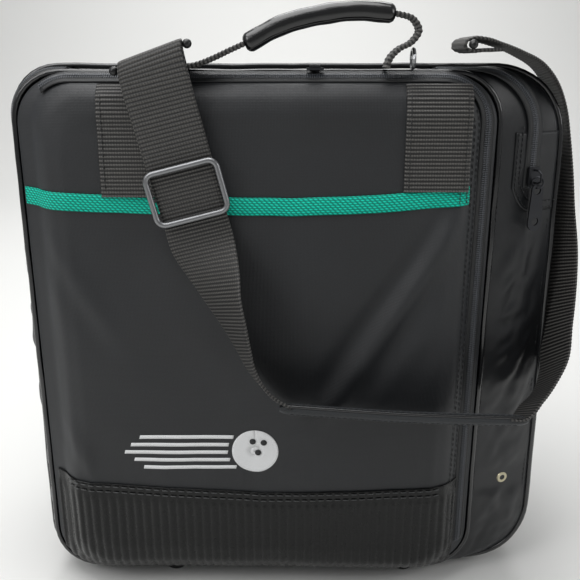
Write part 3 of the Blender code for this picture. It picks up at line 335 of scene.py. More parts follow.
ACROSS, UPWARD = 92, 110
cover_outline = outline(-HALF + 0.003, HALF - 0.003, BASE + 0.002, TOP - 0.002, 0.038, ACROSS, UPWARD)
cover_middle = np.array((0, (TOP + BASE) / 2))
SHRINK = [1.0, 0.995, 0.99, 0.984, 0.977, 0.969, 0.96, 0.95, 0.938, 0.925, 0.91, 0.893, 0.875, 0.855, 0.833, 0.81]
cover_rings = [cover_middle + (cover_outline - cover_middle) * share for share in SHRINK]
last = cover_rings[-1]
bottom_side, right_side = last[: ACROSS + 1], last[ACROSS : ACROSS + UPWARD + 1]
top_side = last[ACROSS + UPWARD : 2 * ACROSS + UPWARD + 1][::-1]
left_side = np.concatenate([last[2 * ACROSS + UPWARD :], last[:1]])[::-1]
s, t = np.meshgrid(np.linspace(0, 1, ACROSS + 1), np.linspace(0, 1, UPWARD + 1))
s, t = s[..., None], t[..., None]
inner = (
    (1 - t) * bottom_side[None] + t * top_side[None] + (1 - s) * left_side[:, None] + s * right_side[:, None]
    - (1 - s) * (1 - t) * last[0] - s * (1 - t) * bottom_side[-1] - (1 - s) * t * top_side[0] - s * t * top_side[-1]
)
around = len(cover_outline)
flat_points = np.concatenate([*cover_rings[:-1], inner.reshape(-1, 2)])
start = around * (len(SHRINK) - 1)


def inner_index(k):
    """The inner grid's point that matches point k of the last ring."""
    k = k % around
    if k <= ACROSS:
        return start + k
    if k <= ACROSS + UPWARD:
        return start + (k - ACROSS) * (ACROSS + 1) + ACROSS
    if k <= 2 * ACROSS + UPWARD:
        return start + UPWARD * (ACROSS + 1) + 2 * ACROSS + UPWARD - k
    return start + (around - k) * (ACROSS + 1)


cover_faces = []
for i in range(len(SHRINK) - 1):
    for j in range(around):
        k = (j + 1) % around
        a, b = i * around + j, i * around + k
        c, d = (inner_index(j + 1), inner_index(j)) if i == len(SHRINK) - 2 else ((i + 1) * around + k, (i + 1) * around + j)
        cover_faces.append((a, b, c, d))
for i in range(UPWARD):
    for j in range(ACROSS):
        a = start + i * (ACROSS + 1) + j
        cover_faces.append((a, a + 1, a + ACROSS + 2, a + ACROSS + 1))
cover_points = np.stack([flat_points[:, 0], front_y(flat_points[:, 0], flat_points[:, 1]), flat_points[:, 1]], 1) + MIDDLE
front_cover = link_up(
    "front_cover", cover_points, cover_faces, [matt_nylon], corner_uvs(cover_faces, flat_points), 60
)
backing = front_cover.modifiers.new("cloth thickness", "SOLIDIFY")
backing.thickness = 0.0016
backing.offset = -1
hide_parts("front_panel")
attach(front_cover, "bag")


# Woven tape: 14 mm polypropylene ribbon in teal, sewn level across the front with a dip in the
# middle, its right end folded under and held with two rows of stitches.
def lay_on_front(x, z, out):
    """Points on the cover's face, proud of it by a distance, for arrays of x and z."""
    return np.stack([x, front_y(x, z, out), z], -1) + MIDDLE


def run_of(name, path, up, size, pitch, material, across=False, gap=0.0):
    """A row of small rounded lengths of thread or zip coil on a path of points. size is their
    length, width and height; up gives the way out of the cloth at each point of the path."""
    path, up = np.asarray(path, float), np.asarray(up, float)
    run = np.concatenate([[0], np.cumsum(np.linalg.norm(np.diff(path, axis=0), axis=1))])
    places = np.arange(pitch / 2, run[-1], pitch)
    middles = np.stack([np.interp(places, run, path[:, k]) for k in range(3)], 1)
    ahead = np.stack([np.interp(places + 0.0005, run, path[:, k]) for k in range(3)], 1)
    behind = np.stack([np.interp(places - 0.0005, run, path[:, k]) for k in range(3)], 1)
    way = ahead - behind
    way /= np.linalg.norm(way, axis=1)[:, None] + 1e-12
    out = np.stack([np.interp(places, run, up[:, k]) for k in range(3)], 1)
    out -= way * (out * way).sum(1)[:, None]
    out /= np.linalg.norm(out, axis=1)[:, None]
    side = np.cross(way, out)
    long_way, short_way = (side, way) if across else (way, side)
    long, wide, high = size
    stations = [(-0.5, 0.35), (-0.36, 0.9), (0.0, 1.0), (0.36, 0.9), (0.5, 0.35)]
    turns = np.linspace(0, math.tau, 6, endpoint=False)
    points, faces = [], []
    for middle, o, l, w in zip(middles, out, long_way, short_way):
        first = len(points)
        for share, swell in stations:
            for turn in turns:
                points.append(
                    middle + l * long * share + w * wide / 2 * swell * math.cos(turn)
                    + o * (high / 2 * swell * math.sin(turn) + gap)
                )
        count = len(turns)
        for i in range(len(stations) - 1):
            for j in range(count):
                k = (j + 1) % count
                faces.append((first + i * count + j, first + i * count + k, first + (i + 1) * count + k, first + (i + 1) * count + j))
        faces.append(tuple(first + j for j in range(count))[::-1])
        faces.append(tuple(first + (len(stations) - 1) * count + j for j in range(count)))
    made = link_up(name, points, faces, [material], smooth=80)
    return made


teal, tree, shader = start_finish("woven_polypropylene_tape", "#00a58c", 0.6, Specular_IOR_Level=0.25)
uv = add_node(tree, "ShaderNodeTexCoord").outputs["UV"]
TAPE_THREAD = 0.0019  # one step of the tape's herringbone
diagonal = add_node(tree, "ShaderNodeTexWave", {"Scale": WAVE / TAPE_THREAD, "Distortion": 0.4}, {"Vector": uv}, bands_direction="DIAGONAL")
level = add_node(tree, "ShaderNodeTexWave", {"Scale": WAVE / TAPE_THREAD, "Distortion": 0.3}, {"Vector": uv}, bands_direction="Y")
weave = add_node(tree, "ShaderNodeMath", links={0: diagonal.outputs["Fac"], 1: level.outputs["Fac"]}, operation="MULTIPLY")
shades = add_node(tree, "ShaderNodeValToRGB", links={"Fac": weave.outputs[0]})
shades.color_ramp.elements[0].color = linear("#007f6c")
shades.color_ramp.elements[1].color = linear("#08e2c4")
shades.color_ramp.elements[1].position = 0.7
tree.links.new(shades.outputs["Color"], shader.inputs["Base Color"])
tree.links.new(
    add_node(tree, "ShaderNodeBump", {"Strength": 0.8, "Distance": 0.0006}, {"Height": weave.outputs[0]}).outputs[0],
    shader.inputs["Normal"],
)
tape_x = np.concatenate([np.linspace(-0.1865, -0.165, 14), np.linspace(-0.160, 0.158, 120), np.linspace(0.160, 0.1655, 5)])
tape_top = np.interp(tape_x, [-0.19, -0.086, 0.026, 0.091, 0.166], [0.3705, 0.3665, 0.3650, 0.3675, 0.3735])
tape_share = np.linspace(0, 1, 9)
TAPE_HEIGHT = 0.014
tx = np.repeat(tape_x[None], 9, 0)
tz = tape_top[None] - TAPE_HEIGHT * (1 - tape_share[:, None]) + 0.0001 * np.sin(tx * 160)
crown = 0.0013 + 0.0004 * np.sin(np.pi * tape_share)[:, None]
tape = sheet_from("teal_tape", lay_on_front(tx, tz, crown), [teal], 0.0010)
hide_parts("woven_tape")
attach(tape, "bag")

sewing, tree, shader = start_finish("bonded_nylon_thread", "#1b1c1e", 0.45)
strands = add_node(tree, "ShaderNodeTexNoise", {"Scale": 1500.0, "Detail": 1.0})
tree.links.new(
    add_node(tree, "ShaderNodeBump", {"Strength": 0.3, "Distance": 0.0002}, {"Height": strands.outputs["Fac"]}).outputs[0],
    shader.inputs["Normal"],
)
front_way = np.array((0.0, -1.0, 0.0))


def sewn_on_front(name, x, z, out, length=0.0038, pitch=0.0058, thick=0.0009, material=None):
    path = lay_on_front(np.asarray(x, float), np.asarray(z, float), out)
    row = run_of(name, path, np.repeat(front_way[None], len(path), 0), (length, thick, thick * 0.8), pitch, material or sewing)
    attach(row, "bag")
    return row


for k, x in enumerate((0.1572, 0.1628)):
    sewn_on_front(f"tape_end_stitch_{k}", np.full(12, x), np.linspace(0.3605, 0.3725, 12), 0.0024, 0.0024, 0.0032)


# Kick panel: glossy black vinyl moulded with upright ribs, glued and sewn over the lower front,
# where shoes and kerbs would wear the nylon.
vinyl, tree, shader = start_finish("moulded_glossy_vinyl", "#070808", 0.22, Specular_IOR_Level=0.32)
cloud = add_node(tree, "ShaderNodeTexNoise", {"Scale": 14.0, "Detail": 6.0, "Roughness": 0.7})
haze = add_node(tree, "ShaderNodeMapRange", {"From Min": 0.35, "From Max": 0.75, "To Min": 0.20, "To Max": 0.36}, {"Value": cloud.outputs["Fac"]})
tree.links.new(haze.outputs[0], shader.inputs["Roughness"])
fine = add_node(tree, "ShaderNodeTexNoise", {"Scale": 260.0, "Detail": 4.0})
tree.links.new(
    add_node(tree, "ShaderNodeBump", {"Strength": 0.15, "Distance": 0.0004}, {"Height": fine.outputs["Fac"]}).outputs[0],
    shader.inputs["Normal"],
)
RIB = 0.0075
KICK_COLUMNS = 9  # points across each rib
kick_x = np.arange(-24.5 * RIB, 23.3 * RIB, RIB / KICK_COLUMNS)
kick_x = kick_x[np.abs(kick_x) < HALF - 0.0075]


def seam_height(x):
    return np.interp(x, [-0.19, -0.173, -0.10, 0.0, 0.10, 0.165, 0.19], [0.117, 0.1155, 0.1105, 0.1050, 0.1080, 0.1115, 0.1125])


beyond = np.maximum(np.abs(kick_x) - (HALF - 0.0045 - 0.036), 0)
kick_foot = BASE + 0.0035 + 0.036 - np.sqrt(np.maximum(0.036**2 - beyond**2, 1e-8))
kick_share = np.concatenate([np.linspace(0, 0.2, 9, endpoint=False), np.linspace(0.2, 0.93, 20, endpoint=False), np.linspace(0.93, 1, 6)])[:, None]
kz = kick_foot[None] + (seam_height(kick_x) - kick_foot)[None] * kick_share
kx = np.repeat(kick_x[None], len(kick_share), 0)
phase = np.abs(np.sin(np.pi * kick_x / RIB))[None]
rise = 0.0014 + 0.0019 * phase**0.7 * np.clip((seam_height(kick_x)[None] - 0.0095 - kz) / 0.006, 0, 1)
kick = sheet_from("kick_panel_ribbed", lay_on_front(kx, kz, rise), [vinyl], 0.0012)
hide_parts("kick_panel")
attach(kick, "bag")
vinyl_thread, tree, shader = start_finish("waxed_black_thread", "#3a3b3c", 0.35)
wax = add_node(tree, "ShaderNodeTexNoise", {"Scale": 900.0})
tree.links.new(
    add_node(tree, "ShaderNodeBump", {"Strength": 0.2, "Distance": 0.0002}, {"Height": wax.outputs["Fac"]}).outputs[0],
    shader.inputs["Normal"],
)
stitch_x = np.linspace(-0.170, 0.158, 160)
for k, drop in enumerate((0.0022, 0.0075)):
    sewn_on_front(f"kick_stitch_{k}", stitch_x, seam_height(stitch_x) - drop, 0.0024, 0.0052, 0.0072, 0.0012, vinyl_thread)


# Print: a plain ball with three finger holes and level bars behind it, screen-printed in white.
ink, tree, shader = start_finish("screen_print_ink", "#d9dadb", 0.6)
thin = add_node(tree, "ShaderNodeTexNoise", {"Scale": 700.0, "Detail": 2.0})
cover_up = add_node(tree, "ShaderNodeValToRGB", links={"Fac": thin.outputs["Fac"]})
cover_up.color_ramp.elements[0].position = 0.30
cover_up.color_ramp.elements[0].color = linear("#8f9192")
cover_up.color_ramp.elements[1].position = 0.45
cover_up.color_ramp.elements[1].color = linear("#e6e7e8")
tree.links.new(cover_up.outputs["Color"], shader.inputs["Base Color"])
BALL_AT = (-0.004, 0.145)
BALL_RADIUS = 0.020
INK_OUT = 0.00045
print_points, print_faces = [], []


def print_grid(x, z):
    first = len(print_points)
    points = lay_on_front(x, z, INK_OUT)
    print_points.extend(points.reshape(-1, 3))
    print_faces.extend(tuple(first + i for i in face) for face in grid_faces(*points.shape[:2]))


for low, high in ((0.128, 0.1312), (0.1352, 0.1384), (0.1424, 0.1456), (0.1496, 0.1528), (0.1568, 0.160)):
    edge = BALL_AT[0] - math.sqrt(max(BALL_RADIUS**2 - ((low + high) / 2 - BALL_AT[1]) ** 2, 0)) - 0.004
    tail = -0.118 + 1.1 * abs((low + high) / 2 - BALL_AT[1])
    x, z = np.meshgrid(np.linspace(tail, edge, 40), np.linspace(low, high, 3))
    print_grid(x + (z - low) * 0.25, z)
turns, radii = np.meshgrid(np.linspace(0, math.tau, 49), np.array([0.2, 0.45, 0.7, 0.85, 0.93, 1.0]) * BALL_RADIUS)
print_grid(BALL_AT[0] + radii * np.sin(turns), BALL_AT[1] + radii * np.cos(turns))
hub_turns, hub_radii = np.meshgrid(np.linspace(0, math.tau, 49), np.array([0.01, 0.2]) * BALL_RADIUS)
print_grid(BALL_AT[0] + hub_radii * np.sin(hub_turns), BALL_AT[1] + hub_radii * np.cos(hub_turns))
print_mark = link_up("print_ball_and_bars", print_points, print_faces, [ink])
film = print_mark.modifiers.new("ink thickness", "SOLIDIFY")
film.thickness = 0.0003
film.offset = -1
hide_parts("printed_motif")
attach(print_mark, "bag")
hole_points, hole_faces = [], []
for dx, dz in ((-0.002, 0.0095), (0.0075, 0.0085), (0.0025, -0.001)):
    first = len(hole_points)
    turn = np.linspace(0, math.tau, 18, endpoint=False)
    ring = lay_on_front(BALL_AT[0] + dx + 0.0027 * np.sin(turn), BALL_AT[1] + dz + 0.0027 * np.cos(turn), 0.0007)
    hole_points.extend(ring)
    hole_faces.append(tuple(range(first, first + len(turn))))
finger_holes = link_up("print_finger_holes", hole_points, hole_faces, [matt_nylon])
film = finger_holes.modifiers.new("ink thickness", "SOLIDIFY")
film.thickness = 0.0003
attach(finger_holes, "bag")


# Webbing: 50 mm polypropylene strap, woven with a rib across it every 3 mm. The two legs of
# the carrying handle are sewn to the front above the tape.
RIB_PITCH = 0.0030
WEB_THICK = 0.0018
webbing_black, tree, shader = start_finish("ribbed_polypropylene_webbing", "#3b3a39", 0.55, Sheen_Weight=0.05)
uv = add_node(tree, "ShaderNodeTexCoord").outputs["UV"]
ribs = add_node(tree, "ShaderNodeTexWave", {"Scale": WAVE / RIB_PITCH, "Phase Offset": math.pi / 2}, {"Vector": uv}, bands_direction="Y").outputs["Fac"]
twist = add_node(tree, "ShaderNodeTexWave", {"Scale": WAVE / 0.0021, "Distortion": 1.2, "Detail Scale": 3.0}, {"Vector": uv}, bands_direction="X").outputs["Fac"]
fuzz = add_node(tree, "ShaderNodeTexNoise", {"Scale": 1300.0, "Detail": 2.0}, {"Vector": uv}).outputs["Fac"]
knots = add_node(tree, "ShaderNodeMath", {1: 0.45}, {0: twist}, operation="MULTIPLY").outputs[0]
knots = add_node(tree, "ShaderNodeMath", {1: 0.55}, {0: knots}, operation="ADD").outputs[0]
rough_ribs = add_node(tree, "ShaderNodeMath", links={0: ribs, 1: knots}, operation="MULTIPLY").outputs[0]
# The colour follows the ribs: painted shade darkens the grooves between them, and random fibre speckle varies the tone
# on top.
groove_shade_and_speckle = add_node(tree, "ShaderNodeMath", links={0: rough_ribs, 1: fuzz}, operation="MULTIPLY").outputs[0]
groove_shade_and_speckle_ramp = add_node(tree, "ShaderNodeValToRGB", links={"Fac": groove_shade_and_speckle})
groove_shade_and_speckle_ramp.color_ramp.elements[0].position = 0.08
groove_shade_and_speckle_ramp.color_ramp.elements[0].color = linear("#040404")
groove_shade_and_speckle_ramp.color_ramp.elements[1].position = 0.42
groove_shade_and_speckle_ramp.color_ramp.elements[1].color = linear("#54524f")
tree.links.new(groove_shade_and_speckle_ramp.outputs["Color"], shader.inputs["Base Color"])
tree.links.new(
    add_node(tree, "ShaderNodeBump", {"Strength": 0.9, "Distance": 0.0006}, {"Height": rough_ribs}).outputs[0],
    shader.inputs["Normal"],
)


def smooth_line(stations, spacing):
    """Points on a smooth line through rows of numbers, whose first three are a place."""
    stations = np.asarray(stations, float)
    run = np.concatenate([[0], np.cumsum(np.linalg.norm(np.diff(stations[:, :3], axis=0), axis=1))])
    slopes = np.gradient(stations, run, axis=0)
    wanted = np.linspace(0, run[-1], max(int(run[-1] / spacing), 8) + 1)
    k = np.clip(np.searchsorted(run, wanted, "right") - 1, 0, len(run) - 2)
    reach = (run[k + 1] - run[k])[:, None]
    t = ((wanted - run[k])[:, None]) / reach
    a, b = 2 * t**3 - 3 * t**2 + 1, t**3 - 2 * t**2 + t
    c, d = -2 * t**3 + 3 * t**2, t**3 - t**2
    return a * stations[k] + b * reach * slopes[k] + c * stations[k + 1] + d * reach * slopes[k + 1], wanted


def webbing(name, stations, thick=WEB_THICK, rib=0.0005, ply=1, cup=0.0, spacing=RIB_PITCH / 5):
    """A strap through rows of (place, half of its width as a vector), ribbed on both faces."""
    line, run = smooth_line(np.array([[*c, *h] for c, h in stations], float), spacing)
    place, half = line[:, :3] + MIDDLE, line[:, 3:]
    way = np.gradient(place, axis=0)
    out = np.cross(half, way)
    out /= np.linalg.norm(out, axis=1)[:, None]
    shares = np.array([-1, -0.97, -0.85, -0.6, -0.3, 0, 0.3, 0.6, 0.85, 0.97, 1.0])
    edge = np.array([0.35, 0.8, 1, 1, 1, 1, 1, 1, 1, 0.8, 0.35])
    crest = rib * (0.5 + 0.5 * np.cos(math.tau * run / RIB_PITCH))
    width = np.linalg.norm(half, axis=1).mean()
    rings, uvs = [], []
    for face in (1, -1):
        order = range(len(shares)) if face > 0 else range(len(shares))[::-1]
        for k in order:
            lift = (thick * ply / 2 + crest) * edge[k] * face + cup * (1 - shares[k] ** 2)
            rings.append(place + half * shares[k] + out * lift[:, None])
            uvs.append(np.stack([np.full(len(run), width * shares[k] + 0.2 * (face < 0)), run], 1))
    points = np.stack(rings, 1)
    columns = points.shape[1]
    faces = grid_faces(len(points), columns, closed=True)
    uv = np.stack(uvs, 1).reshape(-1, 2)
    faces.append(tuple(range(columns)))
    faces.append(tuple(range((len(points) - 1) * columns, len(points) * columns))[::-1])
    made = link_up(name, points.reshape(-1, 3), faces, [webbing_black], corner_uvs(faces, uv), 70)
    return made


LEG_MIDDLES = {"left": -0.0945, "right": 0.1385}
for side, middle in LEG_MIDDLES.items():
    leg_z = np.array([0.3660, 0.380, 0.395, 0.410, 0.420, 0.428, 0.435, 0.441, 0.4460, 0.4495])
    if side == "right":
        leg_z[0] = 0.3700
    leg_y = np.array([front_y(np.array([middle - 0.012, middle, middle + 0.012]), np.full(3, z)).min() for z in leg_z]) - 0.0014
    leg = webbing(f"leg_webbing_{side}", [((middle, y, z), (0.025, 0, 0)) for y, z in zip(leg_y, leg_z)])
    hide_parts(f"handle_leg_{side}")
    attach(leg, "bag")
    for k, dx in enumerate((-0.0215, 0.0215)):
        z = np.linspace(0.372, 0.442, 40)
        path = np.stack([np.full(40, middle + dx), np.interp(z, leg_z, leg_y) - 0.0016, z], 1) + MIDDLE
        row = run_of(f"leg_stitch_{side}_{k}", path, np.repeat(front_way[None], 40, 0), (0.0030, 0.0008, 0.0007), 0.0048, sewing)
        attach(row, "bag")


# Piping: glossy black vinyl beads with a plastic core, sewn into the seams round the front,
# the widest line of the body and the rear.
gloss_bead, tree, shader = start_finish("extruded_glossy_vinyl_bead", "#0e0f11", 0.2, Specular_IOR_Level=0.6, Coat_Weight=0.35)
dents = add_node(tree, "ShaderNodeTexNoise", {"Scale": 60.0, "Detail": 4.0})
tree.links.new(
    add_node(tree, "ShaderNodeBump", {"Strength": 0.12, "Distance": 0.0010}, {"Height": dents.outputs["Fac"]}).outputs[0],
    shader.inputs["Normal"],
)
BEAD = 0.00235


def tube_along(name, path, radius, material, closed=False, sides=12, squash=1.0, caps=True):
    """A round or oval bar along a path; radius may change along it."""
    path = np.asarray(path, float)
    count = len(path)
    radius = np.broadcast_to(np.asarray(radius, float), (count,))
    way = np.gradient(path, axis=0)
    if closed:
        way = np.roll(path, -1, 0) - np.roll(path, 1, 0)
    way /= np.linalg.norm(way, axis=1)[:, None]
    up = np.cross(way[0], (0.31, 0.17, 0.93))
    rings = []
    turns = np.linspace(0, math.tau, sides, endpoint=False)
    run = 0.0
    uvs = []
    for i in range(count):
        up = up - way[i] * (up @ way[i])
        up /= np.linalg.norm(up)
        side = np.cross(way[i], up)
        rings.append([path[i] + radius[i] * (up * math.cos(t) + side * math.sin(t) * squash) for t in turns])
        uvs.append([(t * radius[i], run) for t in turns])
        run += np.linalg.norm(path[(i + 1) % count] - path[i])
    points = np.array(rings).reshape(-1, 3)
    faces = grid_faces(count, sides, closed=True)
    if closed:
        faces += [((count - 1) * sides + j, (count - 1) * sides + (j + 1) % sides, (j + 1) % sides, j) for j in range(sides)]
    elif caps:
        faces.append(tuple(range(sides)))
        faces.append(tuple(range((count - 1) * sides, count * sides))[::-1])
    faces = [face[::-1] for face in faces]
    return link_up(name, points, faces, [material], corner_uvs(faces, np.array(uvs).reshape(-1, 2)), 60)


def middle_depth(z):
    return 0.016 + 0.014 * (z - BASE) / (TOP - BASE)


rear_low, rear_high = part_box("rear_piping")
REAR = (rear_low.y + rear_high.y) / 2 - MIDDLE[1]
RIGHT, LEFT = 0.247, -0.197
REAR_RIGHT, REAR_LEFT, REAR_TOP = 0.237, -0.187, 0.450
front_path = outline(-HALF - 0.0002, HALF + 0.0002, BASE - 0.0002, TOP + 0.0002, 0.0382, 50, 60)
front_path = np.stack([front_path[:, 0], np.zeros(len(front_path)), front_path[:, 1]], 1)
PROUD = 0.00255
middle_path = outline(LEFT - PROUD, RIGHT + PROUD, BASE - PROUD, 0.460 + PROUD, 0.0575, 60, 60, 0.0365)
start_low = int(np.argmin(np.hypot(middle_path[:, 0] - 0.190, middle_path[:, 1] - BASE)))
middle_path = np.roll(middle_path, -start_low, 0)
keep = ~((middle_path[:, 1] < BASE) & (middle_path[:, 0] < 0.190) & (middle_path[:, 0] > -0.162))
middle_path = middle_path[keep]
middle_path = np.stack([middle_path[:, 0], middle_depth(middle_path[:, 1]), middle_path[:, 1]], 1)
rear_path = outline(REAR_LEFT - 0.0002, REAR_RIGHT + 0.0002, BASE - 0.0002, REAR_TOP + 0.0002, 0.0452, 50, 60, 0.0342)
rear_path = np.stack([rear_path[:, 0], np.full(len(rear_path), REAR), rear_path[:, 1]], 1)
for name, path, closed in (("front", front_path, True), ("middle", middle_path, False), ("rear", rear_path, True)):
    sway = np.stack([noise_at(path, 30.0, 5.0 + k) for k in range(3)], 1) * 0.0007
    bead = tube_along(f"piping_bead_{name}", path + sway + MIDDLE, BEAD, gloss_bead, closed)
    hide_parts(f"{name}_piping")
    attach(bead, "bag")


# Sides: satin nylon taffeta over thin foam, from the base round both lower and upper corners to
# the mouth. Between the front and the middle piping it stands out as a slanting strip.
satin_nylon = woven_cloth("satin_nylon_taffeta", "#0f1012", "#191b1e", 0.36, 0.25, 0.06)
BODY = {
    1: [(HALF, TOP, 0.038), (0.2218, 0.459, 0.0465), (RIGHT, 0.460, 0.055), (0.242, 0.455, 0.050), (REAR_RIGHT, REAR_TOP, 0.045)],
    -1: [(HALF, TOP, 0.038), (0.1943, 0.459, 0.036), (-LEFT, 0.460, 0.034), (0.192, 0.455, 0.034), (-REAR_LEFT, REAR_TOP, 0.034)],
}
BASE_END = 0.1503
MOUTH = {1: 0.1403, -1: 0.1503}


def body_depth(level, z):
    depths = [0.0026, 0.011, None, REAR / 2, REAR - 0.0026]
    return middle_depth(z) if level == 2 else np.full_like(z, depths[level])


def side_ring(sign, level, count=150):
    """Points from the base to the mouth along one side at a level of the body."""
    extent, top, radius = BODY[sign][level]
    path = [(BASE_END, BASE)]
    path += [(extent - radius + radius * math.cos(t), BASE + radius + radius * math.sin(t)) for t in np.radians(np.linspace(-90, 0, 12))]
    path += [(extent - radius + radius * math.cos(t), top - radius + radius * math.sin(t)) for t in np.radians(np.linspace(0, 90, 12))]
    path += [(MOUTH[sign], top)]
    path = np.array(path)
    run = np.concatenate([[0], np.cumsum(np.linalg.norm(np.diff(path, axis=0), axis=1))])
    wanted = np.linspace(0, 1, count) * run[-1]
    x, z = np.interp(wanted, run, path[:, 0]), np.interp(wanted, run, path[:, 1])
    return np.stack([sign * x, body_depth(level, z), z], 1)


def between(rings, counts):
    """Rows of points blended from each ring to the next."""
    rows = []
    for a, b, count in zip(rings, rings[1:], counts):
        rows += [a + (b - a) * k / count for k in range(count)]
    return np.array([*rows, rings[-1]])


def face_ways(points):
    """The way out of a grid of points at each of them, away from the middle of the body."""
    ways = np.cross(np.gradient(points, axis=0), np.gradient(points, axis=1))
    ways /= np.linalg.norm(ways, axis=2)[..., None] + 1e-12
    centre = np.array((0.02, 0.12, 0.23))
    if (ways * (points - centre)).sum() < 0:
        ways = -ways
    return ways


def strip_folds(points, sign):
    """The strip's slack: it pillows between its seams and crumples in short slanting folds."""
    rows, columns = points.shape[:2]
    share = np.linspace(0, 1, rows)[:, None]
    z = points[..., 2]
    flat = points.reshape(-1, 3)
    slant = np.stack([flat[:, 0] * 0.5 + flat[:, 2] * 0.35, flat[:, 0] * 0.9 - flat[:, 2] * 0.6, flat[:, 1]], 1)
    crumple = noise_at(slant, 55.0, 2.2).reshape(rows, columns) + 0.5 * noise_at(slant, 120.0, 8.2).reshape(rows, columns)
    busy = np.exp(-(((z - 0.215) / 0.085) ** 2)) + 0.9 * np.exp(-(((z - 0.060) / 0.040) ** 2)) + 0.25
    calm = (0.06 + 0.94 * np.clip((0.345 - z) / 0.03, 0, 1)) * (1 - 0.97 * np.exp(-(((z - 0.098) / 0.013) ** 4)))
    pillow = np.sin(np.pi * share) ** 0.7 * calm
    return pillow * (0.0022 + 0.0030 * busy * crumple)


side_sheets, strip_ridges = [], {}
for side, sign in (("right", 1), ("left", -1)):
    strip_points = between([side_ring(sign, k, 260) for k in (0, 1, 2)], [14, 12])
    ways = face_ways(strip_points)
    strip_points = strip_points + ways * strip_folds(strip_points, sign)[..., None]
    strip_ridges[sign] = (strip_points[14], ways[14])
    strip = sheet_from(f"strip_{side}", strip_points + MIDDLE, [satin_nylon], 0.0012, flip=sign < 0)
    wall_points = between([side_ring(sign, k, 170) for k in (2, 3, 4)], [26, 26])
    ways = face_ways(wall_points)
    rows, columns = wall_points.shape[:2]
    flat = wall_points.reshape(-1, 3)
    sway = noise_at(flat, 9.0, 4.4).reshape(rows, columns) * 0.0040 + noise_at(flat, 30.0, 6.1).reshape(rows, columns) * 0.0012
    sag = np.sin(np.pi * np.linspace(0, 1, rows))[:, None] ** 0.5
    wall_points = wall_points + ways * ((0.0012 + sway) * sag)[..., None]
    wall = sheet_from(f"side_wall_{side}", wall_points + MIDDLE, [satin_nylon], 0.0012, flip=sign < 0)
    for piece in (strip, wall):
        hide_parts(f"side_{side}")
        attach(piece, "bag")
        side_sheets.append(piece)


def strip_place(share, z, out=0.0):
    """A point of the right-hand strip between the front (share 0) and middle (1) pipings."""
    x = np.interp(share, [0, 0.55, 1], [HALF, 0.2218, RIGHT])
    y = np.interp(share, [0, 0.55], [0.0026, 0.011]) + np.clip((share - 0.55) / 0.45, 0, 1) * (middle_depth(z) - 0.011)
    lean = np.interp(share, [0.5, 0.6], [0.27, 0.5])
    return np.stack([x + lean * out, y - np.sqrt(1 - lean**2) * out, z + 0 * x], -1)


# Gusset: a second layer of satin nylon where the main zip ends on the right, with its lower
# front corner rounded and a double row of stitches along its edge.
gusset_share, gusset_z = np.meshgrid(np.linspace(0.26, 0.975, 22), np.linspace(0, 1, 26))
round_off = 0.020 * np.clip(1 - (gusset_share - 0.26) / 0.30, 0, 1) ** 2
gusset_height = 0.3475 + round_off + gusset_z * (0.412 - 0.3475 - round_off)
flat = np.stack([gusset_share * 0.06, gusset_height, 0 * gusset_share], -1).reshape(-1, 3)
ripple = (noise_at(flat, 60.0, 2.0) * 0.0006).reshape(gusset_share.shape)
gusset = sheet_from(
    "zip_end_gusset", strip_place(gusset_share, gusset_height, 0.0022 + ripple) + MIDDLE, [satin_nylon], 0.0018
)
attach(gusset, "bag")
strip_way = np.array((0.45, -0.893, 0.0))
edge_share = np.concatenate([np.full(20, 0.275), np.linspace(0.28, 0.56, 20), np.linspace(0.57, 0.965, 20)])
edge_round = 0.020 * np.clip(1 - (edge_share - 0.26) / 0.30, 0, 1) ** 2
edge_z = np.concatenate([np.linspace(0.410, 0.369, 20), (0.3475 + edge_round)[20:]])
for k, shift in enumerate((0.0022, 0.0075)):
    path = strip_place(edge_share + shift / 0.09, edge_z + shift, 0.0027) + MIDDLE
    row = run_of(f"gusset_stitch_{k}", path, np.repeat(strip_way[None], 60, 0), (0.0030, 0.0009, 0.0009), 0.0044, sewing)
    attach(row, "bag")
for k, share in enumerate((0.055, 0.93)):
    z = np.linspace(0.060, 0.400 if share < 0.5 else 0.340, 140)
    path = strip_place(np.full(140, share), z, 0.0016) + MIDDLE
    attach(run_of(f"strip_stitch_{k}", path, np.repeat(strip_way[None], 140, 0), (0.0034, 0.0008, 0.0008), 0.0050, sewing), "bag")


# Base and rear: matt nylon over stiff boards; the base lies between the sides, and the rear is a
# flat tray in its own piping.
def declare_cloth(made):
    """Works out the size that a sheet was cut to, from its own faces, but does not keep or state it."""
    spots = np.array([corner.uv for corner in made.data.uv_layers[0].data])
    wide, long = spots.max(0) - spots.min(0)
    wide, long = max(wide, 0.0102), max(long, 0.0102)


bx, by = np.meshgrid(np.linspace(-0.150, 0.150, 50), np.linspace(0.0028, REAR - 0.0028, 40))
flat = np.stack([bx, by, 0 * bx], -1).reshape(-1, 3)
base_z = BASE + (noise_at(flat, 30.0, 1.0).reshape(bx.shape) - 0.6) * 0.0004
base_cloth = sheet_from("base_cover", np.stack([bx, by, base_z], -1) + MIDDLE, [matt_nylon], 0.0014, flip=True)
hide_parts("base_panel")
rear_outer = outline(REAR_LEFT + 0.002, REAR_RIGHT - 0.002, BASE + 0.002, REAR_TOP - 0.002, 0.0432, 60, 70, 0.0322)
rear_centre = np.array(((REAR_LEFT + REAR_RIGHT) / 2, (BASE + REAR_TOP) / 2))
rear_shares = np.concatenate([1 - np.linspace(0, 0.15, 16), np.linspace(0.83, 0.02, 30)])
rear_rings = np.array([rear_centre + (rear_outer - rear_centre) * share for share in rear_shares])
rear_gap = np.array([np.linalg.norm(rear_rings[k][:, None] - rear_outer[None], axis=2).min(1) for k in range(len(rear_rings))])
rear_proud = np.interp(rear_gap, [0, 0.004, 0.016, 0.03], [0.0026, 0.008, 0.0108, 0.011])
